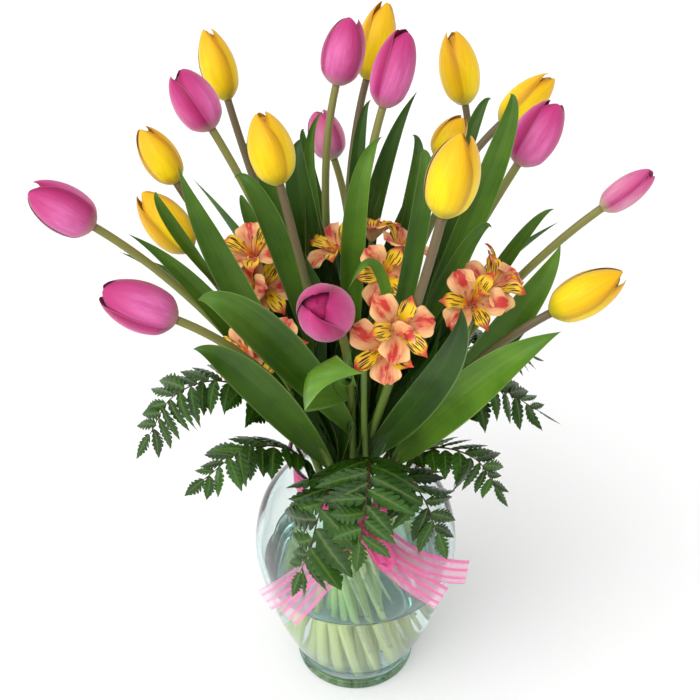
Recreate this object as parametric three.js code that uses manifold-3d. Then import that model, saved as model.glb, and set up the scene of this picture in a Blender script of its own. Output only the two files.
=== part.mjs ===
// Cut tulips in a clear glass vase, with sprays of alstroemeria, fern fronds and a ribbon round the neck.
// Millimetres, +Z up. The origin is the middle of the vase's flat underside, and -Y is the front.

import * as THREE from 'three';
import { mergeVertices } from 'three/addons/utils/BufferGeometryUtils.js';
import Module from 'manifold-3d';

const wasm = await Module();
wasm.setup();

// Vase: the outline of its outside, from the flat underside to the lip, as [radius, height].
const VASE_OUTSIDE = [
  [50, 0], [54, 3], [54, 9], [53, 14], [57, 26], [63.5, 40], [76, 75], [85.5, 118], [88, 150],
  [80, 184], [60, 205], [51, 215], [50, 223], [53, 236], [57, 245],
];
const WALL = 4;
const VASE_FLOOR = 14;
const INSIDE_EDGE = [46, 17];
const INSIDE_FROM = 5;
const FLOOR_ROUNDING = 4;
const VASE_SIDES = 24;
const OUTSIDE_STEPS = 12;
const INSIDE_STEPS = 8;

// Water: how high it stands, and the clearance between it and the glass or a stem.
const WATER_LEVEL = 125;
const GAP = 0.35;

// Bunch: stems stand in rings, straight and twisted like a sheaf below the neck. Above it each is a free
// curve, whose two handles are shares of the distance that it spans.
const NECK = 218;
const STEM_FOOT = 15;
const FERN_FOOT = 60;
const RING_STEP = 10;
const TWIST = 75;
const SPREAD = 1.25;
const TULIP_STEM = 3.6;
const ALSTROEMERIA_STEM = 2.4;
const STEM_TAPER = 0.85;
const STEM_SIDES = 5;
const NECK_HANDLE = 0.2;
const BLOOM_HANDLE = 0.35;
const PEDICEL = 1.1;
const RACHIS = 1.5;

// Leaf: thickness, and how far its edges rise over its middle as a share of its half width.
const LEAF_THICKNESS = 1;
const LEAF_CUP = 0.35;
const LEAF_ROWS = 4;
const LEAF_FACING = { out: 0.8, up: 0.6 };

// Tulips. ring and angle say where the stem passes the neck. base and tip are the bloom's two ends, and width
// is its diameter. A leaf leaves the stem at the height called from, passes through via halfway along and
// ends at tip. face is the direction, in degrees round the vase, that its upper side looks at, and across
// is the direction of its width, for the leaf whose end curls over.
const FRONT = -90;
const BACK = 90;
const TULIPS = [
  {
    name: 'yellow_1', width: 30, base: [-102, 130, 497], tip: [-118, 152, 548], ring: 2, angle: 143,
    leaves: [
      { from: 300, via: [-64, 60, 444], tip: [-87, 72, 488], width: 14 },
      { from: 262, via: [-75, 80, 360], tip: [-140, 150, 420], width: 27, face: BACK },
    ],
  },
  {
    name: 'yellow_2', width: 32, base: [8, 160, 502], tip: [24, 179, 560], ring: 2, angle: 115,
    leaves: [{ from: 300, via: [16, 73, 447], tip: [47, 98, 520], width: 16 }],
  },
  {
    name: 'yellow_3', width: 35, base: [94, 190, 467], tip: [81, 212, 525], ring: 3, angle: 85,
    leaves: [
      { from: 326, via: [94, 160, 446], tip: [115, 184, 476], width: 13 },
      { from: 260, via: [78, 104, 356], tip: [130, 190, 400], width: 27 },
    ],
  },
  {
    name: 'yellow_4', width: 33, base: [-53, -20, 499], tip: [-66, -4, 547], ring: 1, angle: 225,
    leaves: [{ from: 290, via: [-59, -10, 458], tip: [-88, 10, 490], width: 18 }],
  },
  {
    name: 'yellow_5', width: 28, base: [-132, 30, 475], tip: [-156, 40, 515], ring: 2, angle: 172,
    leaves: [{ from: 262, via: [-105, 40, 350], tip: [-190, 60, 400], width: 25, face: BACK }],
  },
  {
    name: 'yellow_6', width: 33, base: [-123, 8, 430], tip: [-157, 18, 474], ring: 2, angle: 228,
    leaves: [
      { from: 285, via: [-90, -45, 445], tip: [-119, -40, 525], width: 22 },
      { from: 400, via: [-126, -48, 486], tip: [-133, -50, 511], width: 9 },
    ],
  },
  {
    name: 'yellow_7', width: 34, base: [51, -110, 523], tip: [63, -98, 574], ring: 1, angle: 330,
    leaves: [
      { from: 250, via: [54, -106, 400], tip: [66, -114, 462], width: 26 },
      { from: 300, via: [43, -45, 491], tip: [40, -20, 522], width: 14 },
      { from: 400, via: [13, -85, 473], tip: [-7, -100, 463], width: 8 },
    ],
  },
  {
    name: 'yellow_8', width: 26, base: [65, 130, 448], tip: [87, 138, 480], ring: 2, angle: 88,
    leaves: [
      { from: 290, via: [44, 70, 445], tip: [43, 100, 482], width: 14 },
      { from: 262, via: [38, 90, 340], tip: [60, 170, 380], width: 24 },
    ],
  },
  {
    name: 'yellow_9', width: 29, base: [113, 110, 486], tip: [152, 120, 522], ring: 2, angle: 60,
    leaves: [
      { from: 280, via: [77, 30, 441], tip: [93, 70, 467], width: 20 },
      { from: 260, via: [90, 65, 350], tip: [170, 110, 400], width: 27, face: BACK },
    ],
  },
  {
    name: 'yellow_10', width: 32, base: [134, -60, 420], tip: [184, -55, 450], ring: 3, angle: 343,
    leaves: [
      { from: 280, via: [115, -35, 398], tip: [145, -20, 454], width: 24 },
      { from: 245, via: [82, -100, 388], tip: [136, -100, 433], width: 30 },
    ],
  },
  {
    name: 'pink_1', width: 34, base: [-16, 110, 518], tip: [-4, 126, 566], ring: 1, angle: 110,
    leaves: [
      { from: 280, via: [-41, 45, 441], tip: [-41, 70, 493], width: 24 },
      { from: 380, via: [-37, 95, 459], tip: [-25, 105, 501], width: 9 },
    ],
  },
  {
    name: 'pink_2', width: 32, base: [19, 70, 517], tip: [35, 84, 571], ring: 0, angle: 0,
    leaves: [
      { from: 300, via: [-1, 10, 460], tip: [19, 48, 505], width: 18 },
      { from: 320, via: [0, 60, 468], tip: [11, 78, 521], width: 12 },
    ],
  },
  {
    name: 'pink_3', width: 34, base: [-107, 60, 504], tip: [-132, 72, 545], ring: 1, angle: 165,
    leaves: [{ from: 290, via: [-72, 30, 421], tip: [-87, 44, 459], width: 14 }],
  },
  {
    name: 'pink_4', width: 31, base: [-18, 150, 436], tip: [-32, 164, 474], ring: 3, angle: 119,
    leaves: [
      { from: 320, via: [-37, 104, 446], tip: [-41, 114, 480], width: 10 },
      { from: 258, via: [-35, 105, 350], tip: [-70, 190, 400], width: 26, face: BACK },
    ],
  },
  {
    name: 'pink_5', width: 36, base: [-187, -10, 461], tip: [-229, -10, 492], ring: 3, angle: 200,
    leaves: [{ from: 270, via: [-105, -20, 399], tip: [-162, -25, 465], width: 17 }],
  },
  {
    name: 'pink_6', width: 36, base: [-122, -80, 428], tip: [-171, -80, 452], ring: 3, angle: 245,
    leaves: [{ from: 255, via: [-74, -95, 389], tip: [-110, -105, 422], width: 26 }],
  },
  {
    name: 'pink_7', width: 38, base: [-16, -104, 445], tip: [-25.5, -138.5, 480], ring: 2, angle: 270,
    leaves: [
      { from: 290, via: [-63, -110, 441], tip: [-103, -110, 464], width: 28 },
      { from: 340, via: [-29, -137, 423], tip: [4, -156, 440], width: 42, across: [0.57, 0.48, 0.67] },
      { from: 360, via: [-8, -122, 412], tip: [-4, -137, 446], width: 8 },
    ],
  },
  {
    name: 'pink_8', width: 34, base: [115, 20, 495], tip: [141, 32, 538], ring: 1, angle: 15,
    leaves: [
      { from: 270, via: [90, -5, 489], tip: [104, 10, 554], width: 20 },
      { from: 300, via: [72, -30, 445], tip: [95, -20, 466], width: 12 },
    ],
  },
  {
    name: 'pink_9', width: 22, base: [177, 10, 465], tip: [212, 14, 493], ring: 3, angle: 28,
    leaves: [{ from: 300, via: [114, 12, 424], tip: [145, 14, 463], width: 12 }],
  },
];

// Alstroemeria. hub is where a spray's stem divides. A flower has its centre and the way that it faces.
const SPRAYS = [
  {
    name: 'front', hub: [5, -62, 384], ring: 2, angle: 300,
    flowers: [
      { at: [27, -122, 451], face: [0.25, -0.75, 0.6] },
      { at: [17.5, -122, 435.5], face: [-0.3, -0.85, 0.45], turn: 40 },
    ],
    buds: [],
  },
  {
    name: 'right', hub: [82, -26, 372], ring: 2, angle: 8,
    flowers: [
      { at: [81, -52, 425], face: [-0.1, -0.7, 0.7] },
      { at: [98, -36, 430], face: [0.35, -0.35, 0.9] },
      { at: [106, -14, 426], face: [0.7, 0.2, 0.65] },
    ],
    buds: [[66, -38, 412]],
  },
  {
    name: 'back', hub: [12, 16, 372], ring: 1, angle: 62,
    flowers: [
      { at: [-16.5, 27.5, 425], face: [-0.5, -0.2, 0.8], turn: 40 },
      { at: [12, 27, 440], face: [0.1, 0.45, 0.9], turn: 100 },
      { at: [36, 18, 432], face: [0.45, 0.1, 0.85] },
      { at: [21, -8, 421], face: [0.1, -0.8, 0.6] },
    ],
    buds: [],
  },
  {
    name: 'left', hub: [-64, 4, 372], ring: 2, angle: 200,
    flowers: [
      { at: [-78, 5, 434], face: [-0.2, -0.45, 0.88] },
      { at: [-69, -11, 411], face: [0.2, -0.8, 0.55] },
      { at: [-83, -6.5, 411], face: [-0.7, -0.45, 0.55], turn: 20 },
    ],
    buds: [],
  },
  {
    name: 'low_left', hub: [-50, -42, 338], ring: 3, angle: 222,
    flowers: [
      { at: [-86, -47, 379], face: [-0.75, -0.3, 0.55], turn: 20 },
      { at: [-57.5, -46.5, 381.5], face: [-0.2, -0.75, 0.6], turn: 80 },
    ],
    buds: [],
  },
];
const TEPAL_LENGTH = 24;
const TEPAL_BEHIND = 4;
const TEPAL_THICKNESS = 0.8;
const THROAT = 16;
const POD_LENGTH = 6.5;
const POD_RADIUS = 2.4;
const BUD_LENGTH = 17;
const BUD_RADIUS = 3.6;
const STALK_HANDLE = 0.4;

// Fern fronds. Each passes the neck at angle and then follows route to its tip. span is its longest leaflet.
const FERN_RING = 3.85;
const FERNS = [
  {
    name: 'left', angle: 222, span: 40,
    route: [[-70, -30, 318], [-107, -38, 345], [-138, -52, 340], [-155, -66, 316]],
  },
  {
    name: 'left_low', angle: 243, span: 34,
    route: [[-50, -46, 282], [-84, -72, 306], [-113, -94, 296]],
  },
  {
    name: 'front_left', angle: 262, span: 43,
    route: [[-14, -64, 270], [-26, -98, 272], [-36, -112, 240], [-43, -117, 222]],
  },
  {
    name: 'front', angle: 285, span: 44,
    route: [[9, -68, 294], [9, -100, 306], [6, -122, 294], [2, -133, 269]],
  },
  {
    name: 'front_right', angle: 305, span: 41,
    route: [[33, -60, 274], [51, -90, 272], [61, -103, 250]],
  },
  {
    name: 'right_low', angle: 325, span: 34,
    route: [[57, -46, 285], [90, -70, 295], [105, -83, 279]],
  },
  {
    name: 'right', angle: 350, span: 40,
    route: [[66, -18, 302], [108, -32, 332], [138, -42, 320]],
  },
  {
    name: 'right_back', angle: 20, span: 36,
    route: [[64, 32, 298], [110, 44, 324], [144, 52, 306]],
  },
  {
    name: 'back', angle: 100, span: 42,
    route: [[-20, 66, 284], [-32, 118, 308], [-40, 165, 286]],
  },
];
const FROND_START = 0.28;
const LEAFLET_PAIRS = 5;
const LEAFLET_SPACE = 0.56;
const LEAFLET_WIDTH = 0.24;
const LEAFLET_WAY = [0.5, 0.86];
const LEAFLET_FOOT = 0.4;
const RIB_WIDTH = 2.6;
const LEAFLET_THICKNESS = 0.9;
const LEAFLET_DROOP = 0.2;

// Ribbon: a band round the neck, a knot, two loops and four tails. A tail ends at an angle and a height, at a
// distance off the glass.
const RIBBON_WIDTH = 20;
const RIBBON_THICKNESS = 0.8;
const STRIP_ROWS = 5;
const BAND = { low: 216, high: 229 };
const KNOT = { at: [0, -58.3, 222], size: [12, 7.2, 11] };
const LOOPS = [[-22, -93, 204], [24, -93, 208]];
const TAILS = [
  { angle: -142, height: 128, off: 11 },
  { angle: -124, height: 134, off: 14 },
  { angle: -33, height: 162, off: 24 },
  { angle: -46, height: 146, off: 15 },
];
const TAIL_START_OFF = 5;

const vec = (x, y, z) => new THREE.Vector3(x, y, z);
const point = (list) => vec(...list);
const UP = vec(0, 0, 1);
const radians = THREE.MathUtils.degToRad;
const lerp = THREE.MathUtils.lerp;
const spread = (count) => Array.from({ length: count + 1 }, (unused, i) => i / count);
const round = (radius, degrees, z) => {
  const turn = radians(degrees);
  return vec(radius * Math.cos(turn), radius * Math.sin(turn), z);
};

// The geometry with its shared corners merged and its empty triangles dropped, so that it is one closed skin.
function closedSkin(geometry) {
  const bare = new THREE.BufferGeometry();
  bare.setAttribute('position', geometry.getAttribute('position').clone());
  if (geometry.index) bare.setIndex(geometry.index.clone());
  const merged = mergeVertices(bare, 1e-4);
  const index = merged.index.array;
  const kept = [];
  for (let i = 0; i < index.length; i += 3) {
    const [a, b, c] = [index[i], index[i + 1], index[i + 2]];
    if (a !== b && b !== c && c !== a) kept.push(a, b, c);
  }
  merged.setIndex(kept);
  return merged;
}

function toSolid(geometry) {
  const skin = closedSkin(geometry);
  return new wasm.Manifold(new wasm.Mesh({
    numProp: 3,
    vertProperties: new Float32Array(skin.getAttribute('position').array),
    triVerts: new Uint32Array(skin.index.array),
  }));
}

function toGeometry(solid) {
  const { vertProperties, triVerts } = solid.getMesh();
  const geometry = new THREE.BufferGeometry();
  geometry.setAttribute('position', new THREE.BufferAttribute(vertProperties, 3));
  geometry.setIndex(new THREE.BufferAttribute(triVerts, 1));
  return geometry;
}

// Joins solids into one and drops any scrap that stays loose.
function fuse(geometries) {
  const joined = geometries.map(toSolid).reduce((whole, next) => whole.add(next));
  const bodies = joined.decompose().sort((a, b) => b.volume() - a.volume());
  return bodies[0];
}

// A closed skin over rings of points, all with as many points as the first, with flat fans over both ends.
function loft(rings) {
  const count = rings[0].length;
  const points = rings.flat();
  const index = [];
  for (let i = 0; i + 1 < rings.length; i += 1) {
    for (let j = 0; j < count; j += 1) {
      const [a, b] = [i * count + j, i * count + (j + 1) % count];
      index.push(a, b, b + count, a, b + count, a + count);
    }
  }
  const last = (rings.length - 1) * count;
  for (let j = 1; j + 1 < count; j += 1) index.push(0, j + 1, j, last, last + j, last + j + 1);
  const geometry = new THREE.BufferGeometry().setFromPoints(points);
  geometry.setIndex(index);
  return geometry;
}

// A round bar along a list of points. radius(u) is its radius, for u from 0 at its start to 1 at its end.
function bar(path, radius, sides) {
  let across = null;
  const rings = path.map((middle, i) => {
    const along = path[Math.min(i + 1, path.length - 1)].clone().sub(path[Math.max(i - 1, 0)]).normalize();
    across = across ?? (Math.abs(along.z) > 0.9 ? vec(1, 0, 0) : vec(0, 0, 1));
    across = across.clone().addScaledVector(along, -across.dot(along)).normalize();
    const third = along.clone().cross(across);
    const size = radius(i / (path.length - 1));
    return spread(sides).slice(0, sides).map((turn) => middle.clone()
      .addScaledVector(across, size * Math.cos(2 * Math.PI * turn))
      .addScaledVector(third, size * Math.sin(2 * Math.PI * turn)));
  });
  return loft(rings);
}

// A thin blade: surface(u, v) is its middle for u from 0 to 1 along it and v from -1 to 1 across it. Its two
// faces lie half the thickness to either side of that, split along the same diagonals.
function blade(surface, rows, columns, thickness) {
  const grid = spread(rows).map((u) => spread(columns).map((turn) => surface(u, 2 * turn - 1)));
  const normal = (i, j) => {
    const along = grid[Math.min(i + 1, rows)][j].clone().sub(grid[Math.max(i - 1, 0)][j]);
    const across = grid[i][Math.min(j + 1, columns)].clone().sub(grid[i][Math.max(j - 1, 0)]);
    return along.cross(across).normalize();
  };
  const shifted = (by) => grid.map((row, i) => (
    row.map((corner, j) => corner.clone().addScaledVector(normal(i, j), by))
  ));
  const [upper, lower] = [shifted(thickness / 2), shifted(-thickness / 2)];
  return loft(lower.map((row, i) => [...row, ...upper[i].slice().reverse()]));
}

// Widest near the middle and drawn out to a point, as a share of its greatest half width: a straight rise
// from the foot times a fall to the tip.
const BLADE = { foot: 0.2, rise: 2.7, fall: 0.8, widest: 0.92, point: 0.04 };
const leafWidth = (u) => (
  Math.max((1 - u) ** BLADE.fall * (BLADE.foot + BLADE.rise * u) / BLADE.widest, BLADE.point)
);

// A leaf's middle line is a curve from its root through via to its tip, and its edges rise towards face.
function leafGeometry(root, { via, tip, width, face = FRONT, across }) {
  const [middle, end] = [point(via), point(tip)];
  const bend = middle.clone().multiplyScalar(2).sub(root.clone().add(end).multiplyScalar(0.5));
  const line = new THREE.QuadraticBezierCurve3(root, bend, end);
  const facing = round(LEAF_FACING.out, face, LEAF_FACING.up);
  const surface = (u, v) => {
    const along = line.getTangent(u);
    const side = across ? point(across).normalize() : along.clone().cross(facing).normalize();
    const lift = side.clone().cross(along).normalize();
    const half = 0.5 * width * leafWidth(u);
    const rise = LEAF_CUP * half * (v * v - 0.5);
    return line.getPoint(u).addScaledVector(side, half * v).addScaledVector(lift, rise);
  };
  return blade(surface, LEAF_ROWS, 2, LEAF_THICKNESS);
}

// The straight lower stretch of a stem, from its foot in the water to where it passes the neck.
function sheafPoint(ring, angle, height) {
  const neck = round(RING_STEP * ring, angle, NECK);
  const foot = round(RING_STEP * ring * SPREAD, angle + TWIST, STEM_FOOT);
  return neck.lerp(foot, (NECK - height) / (NECK - STEM_FOOT));
}

// The free upper stretch of a stem, from the neck to end, where it points along direction.
function freeStretch(ring, angle, end, direction) {
  const neck = sheafPoint(ring, angle, NECK);
  const rise = neck.clone().sub(sheafPoint(ring, angle, STEM_FOOT)).normalize();
  const reach = end.distanceTo(neck);
  const leave = neck.clone().addScaledVector(rise, NECK_HANDLE * reach);
  const arrive = end.clone().addScaledVector(direction, -BLOOM_HANDLE * reach);
  return new THREE.CubicBezierCurve3(neck, leave, arrive, end);
}

// The point where a rising curve reaches a height.
function atHeight(curve, height) {
  let [low, high] = [0, 1];
  for (let i = 0; i < 24; i += 1) {
    const middle = (low + high) / 2;
    if (curve.getPoint(middle).z < height) low = middle;
    else high = middle;
  }
  return curve.getPoint(low);
}

// A tulip bloom standing on the origin along +Z: outer petals broad and proud, with the inner ones showing
// between them. Around a third of it each column has a turn in degrees, how far it stands out, and how high
// its edge reaches. The middle is a shallow cup.
const PETAL_COLUMNS = [
  { turn: -44, out: 1.02, top: 0.86 }, { turn: 0, out: 1.03, top: 0.98 }, { turn: 44, out: 1.02, top: 0.86 },
  { turn: 60, out: 0.9, top: 0.97 },
];
const BLOOM_ROWS = 4;
const BLOOM_SEAT = 0.7;
const BLOOM_TURN = 37;
const CUP = { radius: 0.05, height: 0.8 };
const bloomSwell = (u) => Math.sin(Math.PI * (0.13 + 0.79 * u ** 0.85));

function bloomGeometry(length, width) {
  const columns = [0, 120, 240].flatMap((third) => (
    PETAL_COLUMNS.map(({ turn, out, top }) => ({ out, top, turn: turn + third }))
  ));
  const ring = (u) => columns.map(({ turn, out, top }) => (
    round(0.5 * width * bloomSwell(u * top) * out, turn, length * top * u)
  ));
  const inside = columns.map(({ turn }) => round(CUP.radius * width, turn, CUP.height * length));
  return loft([...spread(BLOOM_ROWS).map(ring), inside]);
}

function paint(colour, roughness, extra = {}) {
  return new THREE.MeshStandardMaterial({ color: colour, roughness, metalness: 0, ...extra });
}

const bouquet = new THREE.Group();

function addMesh(parent, name, geometry, material) {
  const mesh = new THREE.Mesh(geometry, material);
  mesh.name = name;
  parent.add(mesh);
  return mesh;
}

// Stems as plain bars in the water, a clearance wider than the stems themselves, to cut their holes.
const waterHoles = [];
function cutWater(ring, angle, radius, foot) {
  const low = foot > VASE_FLOOR + 2 ? foot - GAP : 0;
  const ends = [sheafPoint(ring, angle, low), sheafPoint(ring, angle, WATER_LEVEL + 5)];
  waterHoles.push(bar(ends, () => radius + GAP, STEM_SIDES));
}

function stemPath(ring, angle, foot, upper, steps) {
  return [sheafPoint(ring, angle, foot), ...spread(steps).map((u) => upper.getPoint(u))];
}

function makeTulip({ name, width, base, tip, ring, angle, leaves }, index) {
  const [foot, end] = [point(base), point(tip)];
  const axis = end.clone().sub(foot).normalize();
  const upper = freeStretch(ring, angle, foot, axis);
  const path = stemPath(ring, angle, STEM_FOOT, upper, 5);
  const stem = bar(path, (u) => lerp(TULIP_STEM, STEM_TAPER * TULIP_STEM, u), STEM_SIDES);
  const blades = leaves.map((leaf) => leafGeometry(atHeight(upper, leaf.from), leaf));
  cutWater(ring, angle, TULIP_STEM, STEM_FOOT);
  const tulip = new THREE.Group();
  bouquet.add(tulip);
  addMesh(tulip, `tulip_${name}_stem`, toGeometry(fuse([stem, ...blades])), paint(0x5f8a45, 0.5));
  const length = end.distanceTo(foot);
  const colour = name.startsWith('pink') ? 0xd0509a : 0xf5d80c;
  const bloom = addMesh(tulip, `tulip_${name}_bloom`, bloomGeometry(length, width), paint(colour, 0.45));
  bloom.position.copy(foot).addScaledVector(axis, BLOOM_SEAT);
  bloom.quaternion.setFromUnitVectors(UP, axis);
  bloom.rotateZ(radians(BLOOM_TURN * index));
}

// A thin sheet cut to a flat outline and then bent: place(x, y, side) is where a corner goes, with side 0 on
// its lower face and 1 on its upper.
function cutSheet(outline, place) {
  const sheet = new THREE.ExtrudeGeometry(new THREE.Shape(outline), { depth: 1, bevelEnabled: false });
  const corners = sheet.getAttribute('position');
  for (let i = 0; i < corners.count; i += 1) {
    const corner = place(corners.getX(i), corners.getY(i), corners.getZ(i));
    corners.setXYZ(i, corner.x, corner.y, corner.z);
  }
  return sheet;
}

// Half of a tepal's edge, from its throat to its tip, as shares of its length, [along it, to the side].
const OUTER_TEPAL = [[0.5, 0.36], [0.84, 0.32]];
const INNER_TEPAL = [[0.62, 0.24]];
const NOTCH = { turn: 33, out: 0.13 };

// The outline of a flower laid flat: three broad tepals with a narrow one between each two.
function flowerOutline() {
  const middle = new THREE.Vector2();
  const place = (x, y, degrees) => (
    new THREE.Vector2(x, y).multiplyScalar(TEPAL_LENGTH).rotateAround(middle, radians(degrees))
  );
  const tepal = (edge, degrees) => {
    const near = edge.map(([x, y]) => place(x, -y, degrees));
    const far = edge.slice().reverse().map(([x, y]) => place(x, y, degrees));
    return [...near, place(1, 0, degrees), ...far, place(NOTCH.out, 0, degrees + NOTCH.turn)];
  };
  return [0, 120, 240].flatMap((third) => [...tepal(OUTER_TEPAL, third), ...tepal(INNER_TEPAL, third + 60)]);
}

// One flower: six tepals that open out of its throat and curl back, the broad ones a little behind.
function flowerGeometry({ at, face, turn = 0 }) {
  const axis = point(face).normalize();
  const first = UP.clone().cross(axis).normalize().applyAxisAngle(axis, radians(turn));
  const second = axis.clone().cross(first);
  const throat = point(at).addScaledVector(axis, -THROAT);
  return cutSheet(flowerOutline(), (x, y, side) => {
    const out = Math.hypot(x, y) / TEPAL_LENGTH;
    const behind = 0.5 * TEPAL_BEHIND * out * (1 + Math.cos(3 * Math.atan2(y, x)));
    const high = THROAT * (0.25 + 1.1 * Math.sin(0.6 * Math.PI * out)) - behind;
    return throat.clone().addScaledVector(first, x).addScaledVector(second, y)
      .addScaledVector(axis, high + TEPAL_THICKNESS * side);
  });
}

// A flower's own stalk, which swells into a green seed pod close under the tepals.
function stalkGeometry(top, { at, face }) {
  const axis = point(face).normalize();
  const throat = point(at).addScaledVector(axis, -THROAT);
  const bend = throat.clone().addScaledVector(axis, -STALK_HANDLE * throat.distanceTo(top));
  const curve = new THREE.QuadraticBezierCurve3(top, bend, throat);
  const pod = throat.clone().addScaledVector(axis, POD_LENGTH);
  return bar([...spread(2).map((u) => curve.getPoint(u)), pod], (u) => lerp(PEDICEL, POD_RADIUS, u ** 3), 4);
}

function makeSpray({ name, hub, ring, angle, flowers, buds }) {
  const top = point(hub);
  const upper = freeStretch(ring, angle, top, UP);
  const stem = bar(stemPath(ring, angle, STEM_FOOT, upper, 4), () => ALSTROEMERIA_STEM, STEM_SIDES);
  const stalks = flowers.map((flower) => stalkGeometry(top, flower));
  const budParts = buds.flatMap((at) => {
    const end = point(at);
    const along = end.clone().sub(top).normalize();
    const swell = (u) => PEDICEL + (BUD_RADIUS - PEDICEL) * Math.sin(Math.PI * u);
    const bud = bar(spread(4).map((u) => end.clone().addScaledVector(along, BUD_LENGTH * u)), swell, 5);
    return [bar([top, end.clone().addScaledVector(along, 1)], () => PEDICEL, 4), bud];
  });
  cutWater(ring, angle, ALSTROEMERIA_STEM, STEM_FOOT);
  const spray = new THREE.Group();
  bouquet.add(spray);
  const green = toGeometry(fuse([stem, ...stalks, ...budParts]));
  addMesh(spray, `alstroemeria_${name}_stem`, green, paint(0x4f7a3a, 0.55));
  const blooms = toGeometry(fuse(flowers.map(flowerGeometry)));
  addMesh(spray, `alstroemeria_${name}_blooms`, blooms, paint(0xe9a678, 0.5));
}

// Half of a fern leaflet's toothed edge, as [share of its length, share of its half width].
const LEAFLET_EDGE = [[0.32, 1], [0.42, 0.6], [0.74, 0.7]];

// One side of a frond's outline, cut to the rib, from base to tip: x runs along the rib and y out from it.
function frondEdge(length, span) {
  const half = LEAFLET_WIDTH * span;
  const pairs = Math.min(LEAFLET_PAIRS, Math.floor(length / (LEAFLET_SPACE * span)));
  return spread(pairs).slice(0, pairs).flatMap((u) => {
    const size = 0.55 + 0.45 * Math.sin(Math.PI * (0.25 + 0.7 * u));
    const [forward, out] = LEAFLET_WAY;
    const along = new THREE.Vector2(forward, out).multiplyScalar(span * size);
    const across = new THREE.Vector2(-out, forward).multiplyScalar(half * size);
    const root = new THREE.Vector2(length * u, RIB_WIDTH / 2);
    const corner = (x, y) => root.clone().addScaledVector(along, x).addScaledVector(across, y);
    const behind = LEAFLET_EDGE.map(([x, y]) => corner(x, y));
    const before = LEAFLET_EDGE.slice().reverse().map(([x, y]) => corner(x, -y));
    const foot = new THREE.Vector2(root.x - LEAFLET_FOOT * half, RIB_WIDTH / 2);
    return [foot, ...behind, corner(1, 0), ...before];
  });
}

function makeFern({ name, angle, span, route }) {
  const neck = sheafPoint(FERN_RING, angle, NECK);
  const line = new THREE.CatmullRomCurve3([neck, ...route.map(point)], false, 'centripetal');
  const bare = spread(3).map((u) => line.getPoint(1.15 * FROND_START * u));
  const rachis = bar([sheafPoint(FERN_RING, angle, FERN_FOOT), ...bare], () => RACHIS, 4);
  const length = line.getLength() * (1 - FROND_START);
  const edge = frondEdge(length, span);
  const tip = new THREE.Vector2(length + 0.5 * span, 0);
  const outline = [...edge.map(({ x, y }) => new THREE.Vector2(x, -y)), tip, ...edge.reverse()];
  const sheet = cutSheet(outline, (x, y, side) => {
    const at = Math.min(FROND_START + (1 - FROND_START) * x / length, 1);
    const along = line.getTangent(at);
    const outward = UP.clone().cross(along).normalize();
    const normal = along.clone().cross(outward);
    const past = Math.max(x - length, 0);
    return line.getPoint(at).addScaledVector(along, past).addScaledVector(outward, y)
      .addScaledVector(normal, LEAFLET_THICKNESS * (side - 0.5) - LEAFLET_DROOP * y * y / span);
  });
  cutWater(FERN_RING, angle, RACHIS, FERN_FOOT);
  addMesh(bouquet, `fern_${name}`, toGeometry(fuse([rachis, sheet])), paint(0x2c5418, 0.4));
}

// The vase's outline as curves, and its outside radius at a height, for the ribbon that lies on it.
const planar = ([radius, height]) => new THREE.Vector2(radius, height);
const outsideLine = new THREE.SplineCurve(VASE_OUTSIDE.map(planar)).getPoints(OUTSIDE_STEPS);
const inset = VASE_OUTSIDE.slice(INSIDE_FROM).reverse()
  .map(([radius, height]) => planar([radius - WALL, height]));
const insideLine = new THREE.SplineCurve([...inset, planar(INSIDE_EDGE)]).getPoints(INSIDE_STEPS);

function outsideRadius(height) {
  const above = Math.max(outsideLine.findIndex(({ y }) => y >= height), 1);
  const [a, b] = [outsideLine[above - 1], outsideLine[above]];
  return lerp(a.x, b.x, (height - a.y) / (b.y - a.y));
}

function turned(profile, sides) {
  return new THREE.LatheGeometry(profile, sides).rotateX(Math.PI / 2);
}

function makeVase() {
  const edge = planar([INSIDE_EDGE[0] - FLOOR_ROUNDING, VASE_FLOOR]);
  const profile = [planar([0, 0]), ...outsideLine, ...insideLine, edge, planar([0, VASE_FLOOR])];
  const glass = paint(0xcfe6df, 0.05, { transparent: true, opacity: 0.35 });
  addMesh(bouquet, 'vase', toGeometry(toSolid(turned(profile, VASE_SIDES))), glass);
}

function makeWater() {
  const under = insideLine.filter(({ y }) => y < WATER_LEVEL - 4).reverse();
  const wetted = under.map(({ x, y }) => planar([x - GAP, y + GAP / 2]));
  const above = insideLine.findIndex(({ y }) => y < WATER_LEVEL);
  const [a, b] = [insideLine[above - 1], insideLine[above]];
  const rim = lerp(a.x, b.x, (WATER_LEVEL - a.y) / (b.y - a.y)) - GAP;
  const low = VASE_FLOOR + GAP;
  const edge = planar([INSIDE_EDGE[0] - FLOOR_ROUNDING - 0.5, low]);
  const profile = [planar([0, low]), edge, ...wetted, planar([rim, WATER_LEVEL]), planar([0, WATER_LEVEL])];
  const full = toSolid(turned(profile, VASE_SIDES));
  const body = waterHoles.map(toSolid).reduce((rest, hole) => rest.subtract(hole), full);
  const clear = paint(0xdff2ee, 0.02, { transparent: true, opacity: 0.3 });
  const [largest] = body.decompose().sort((p, q) => q.volume() - p.volume());
  addMesh(bouquet, 'water', toGeometry(largest), clear);
}

// The direction that leaves the vase squarely at a point near its outside.
function awayFromGlass({ x, y, z }) {
  const slope = 0.25 * (outsideRadius(z + 2) - outsideRadius(z - 2));
  return vec(x, y, 0).normalize().setZ(-slope).normalize();
}

// A strip of ribbon along a line, lying across the direction that out(u) gives. width(u) is its width.
function strip(line, out, width) {
  return blade((u, v) => {
    const side = line(Math.min(u + 0.01, 1)).sub(line(Math.max(u - 0.01, 0))).cross(out(u)).normalize();
    return line(u).addScaledVector(side, 0.5 * width(u) * v);
  }, STRIP_ROWS, 1, RIBBON_THICKNESS);
}

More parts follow.
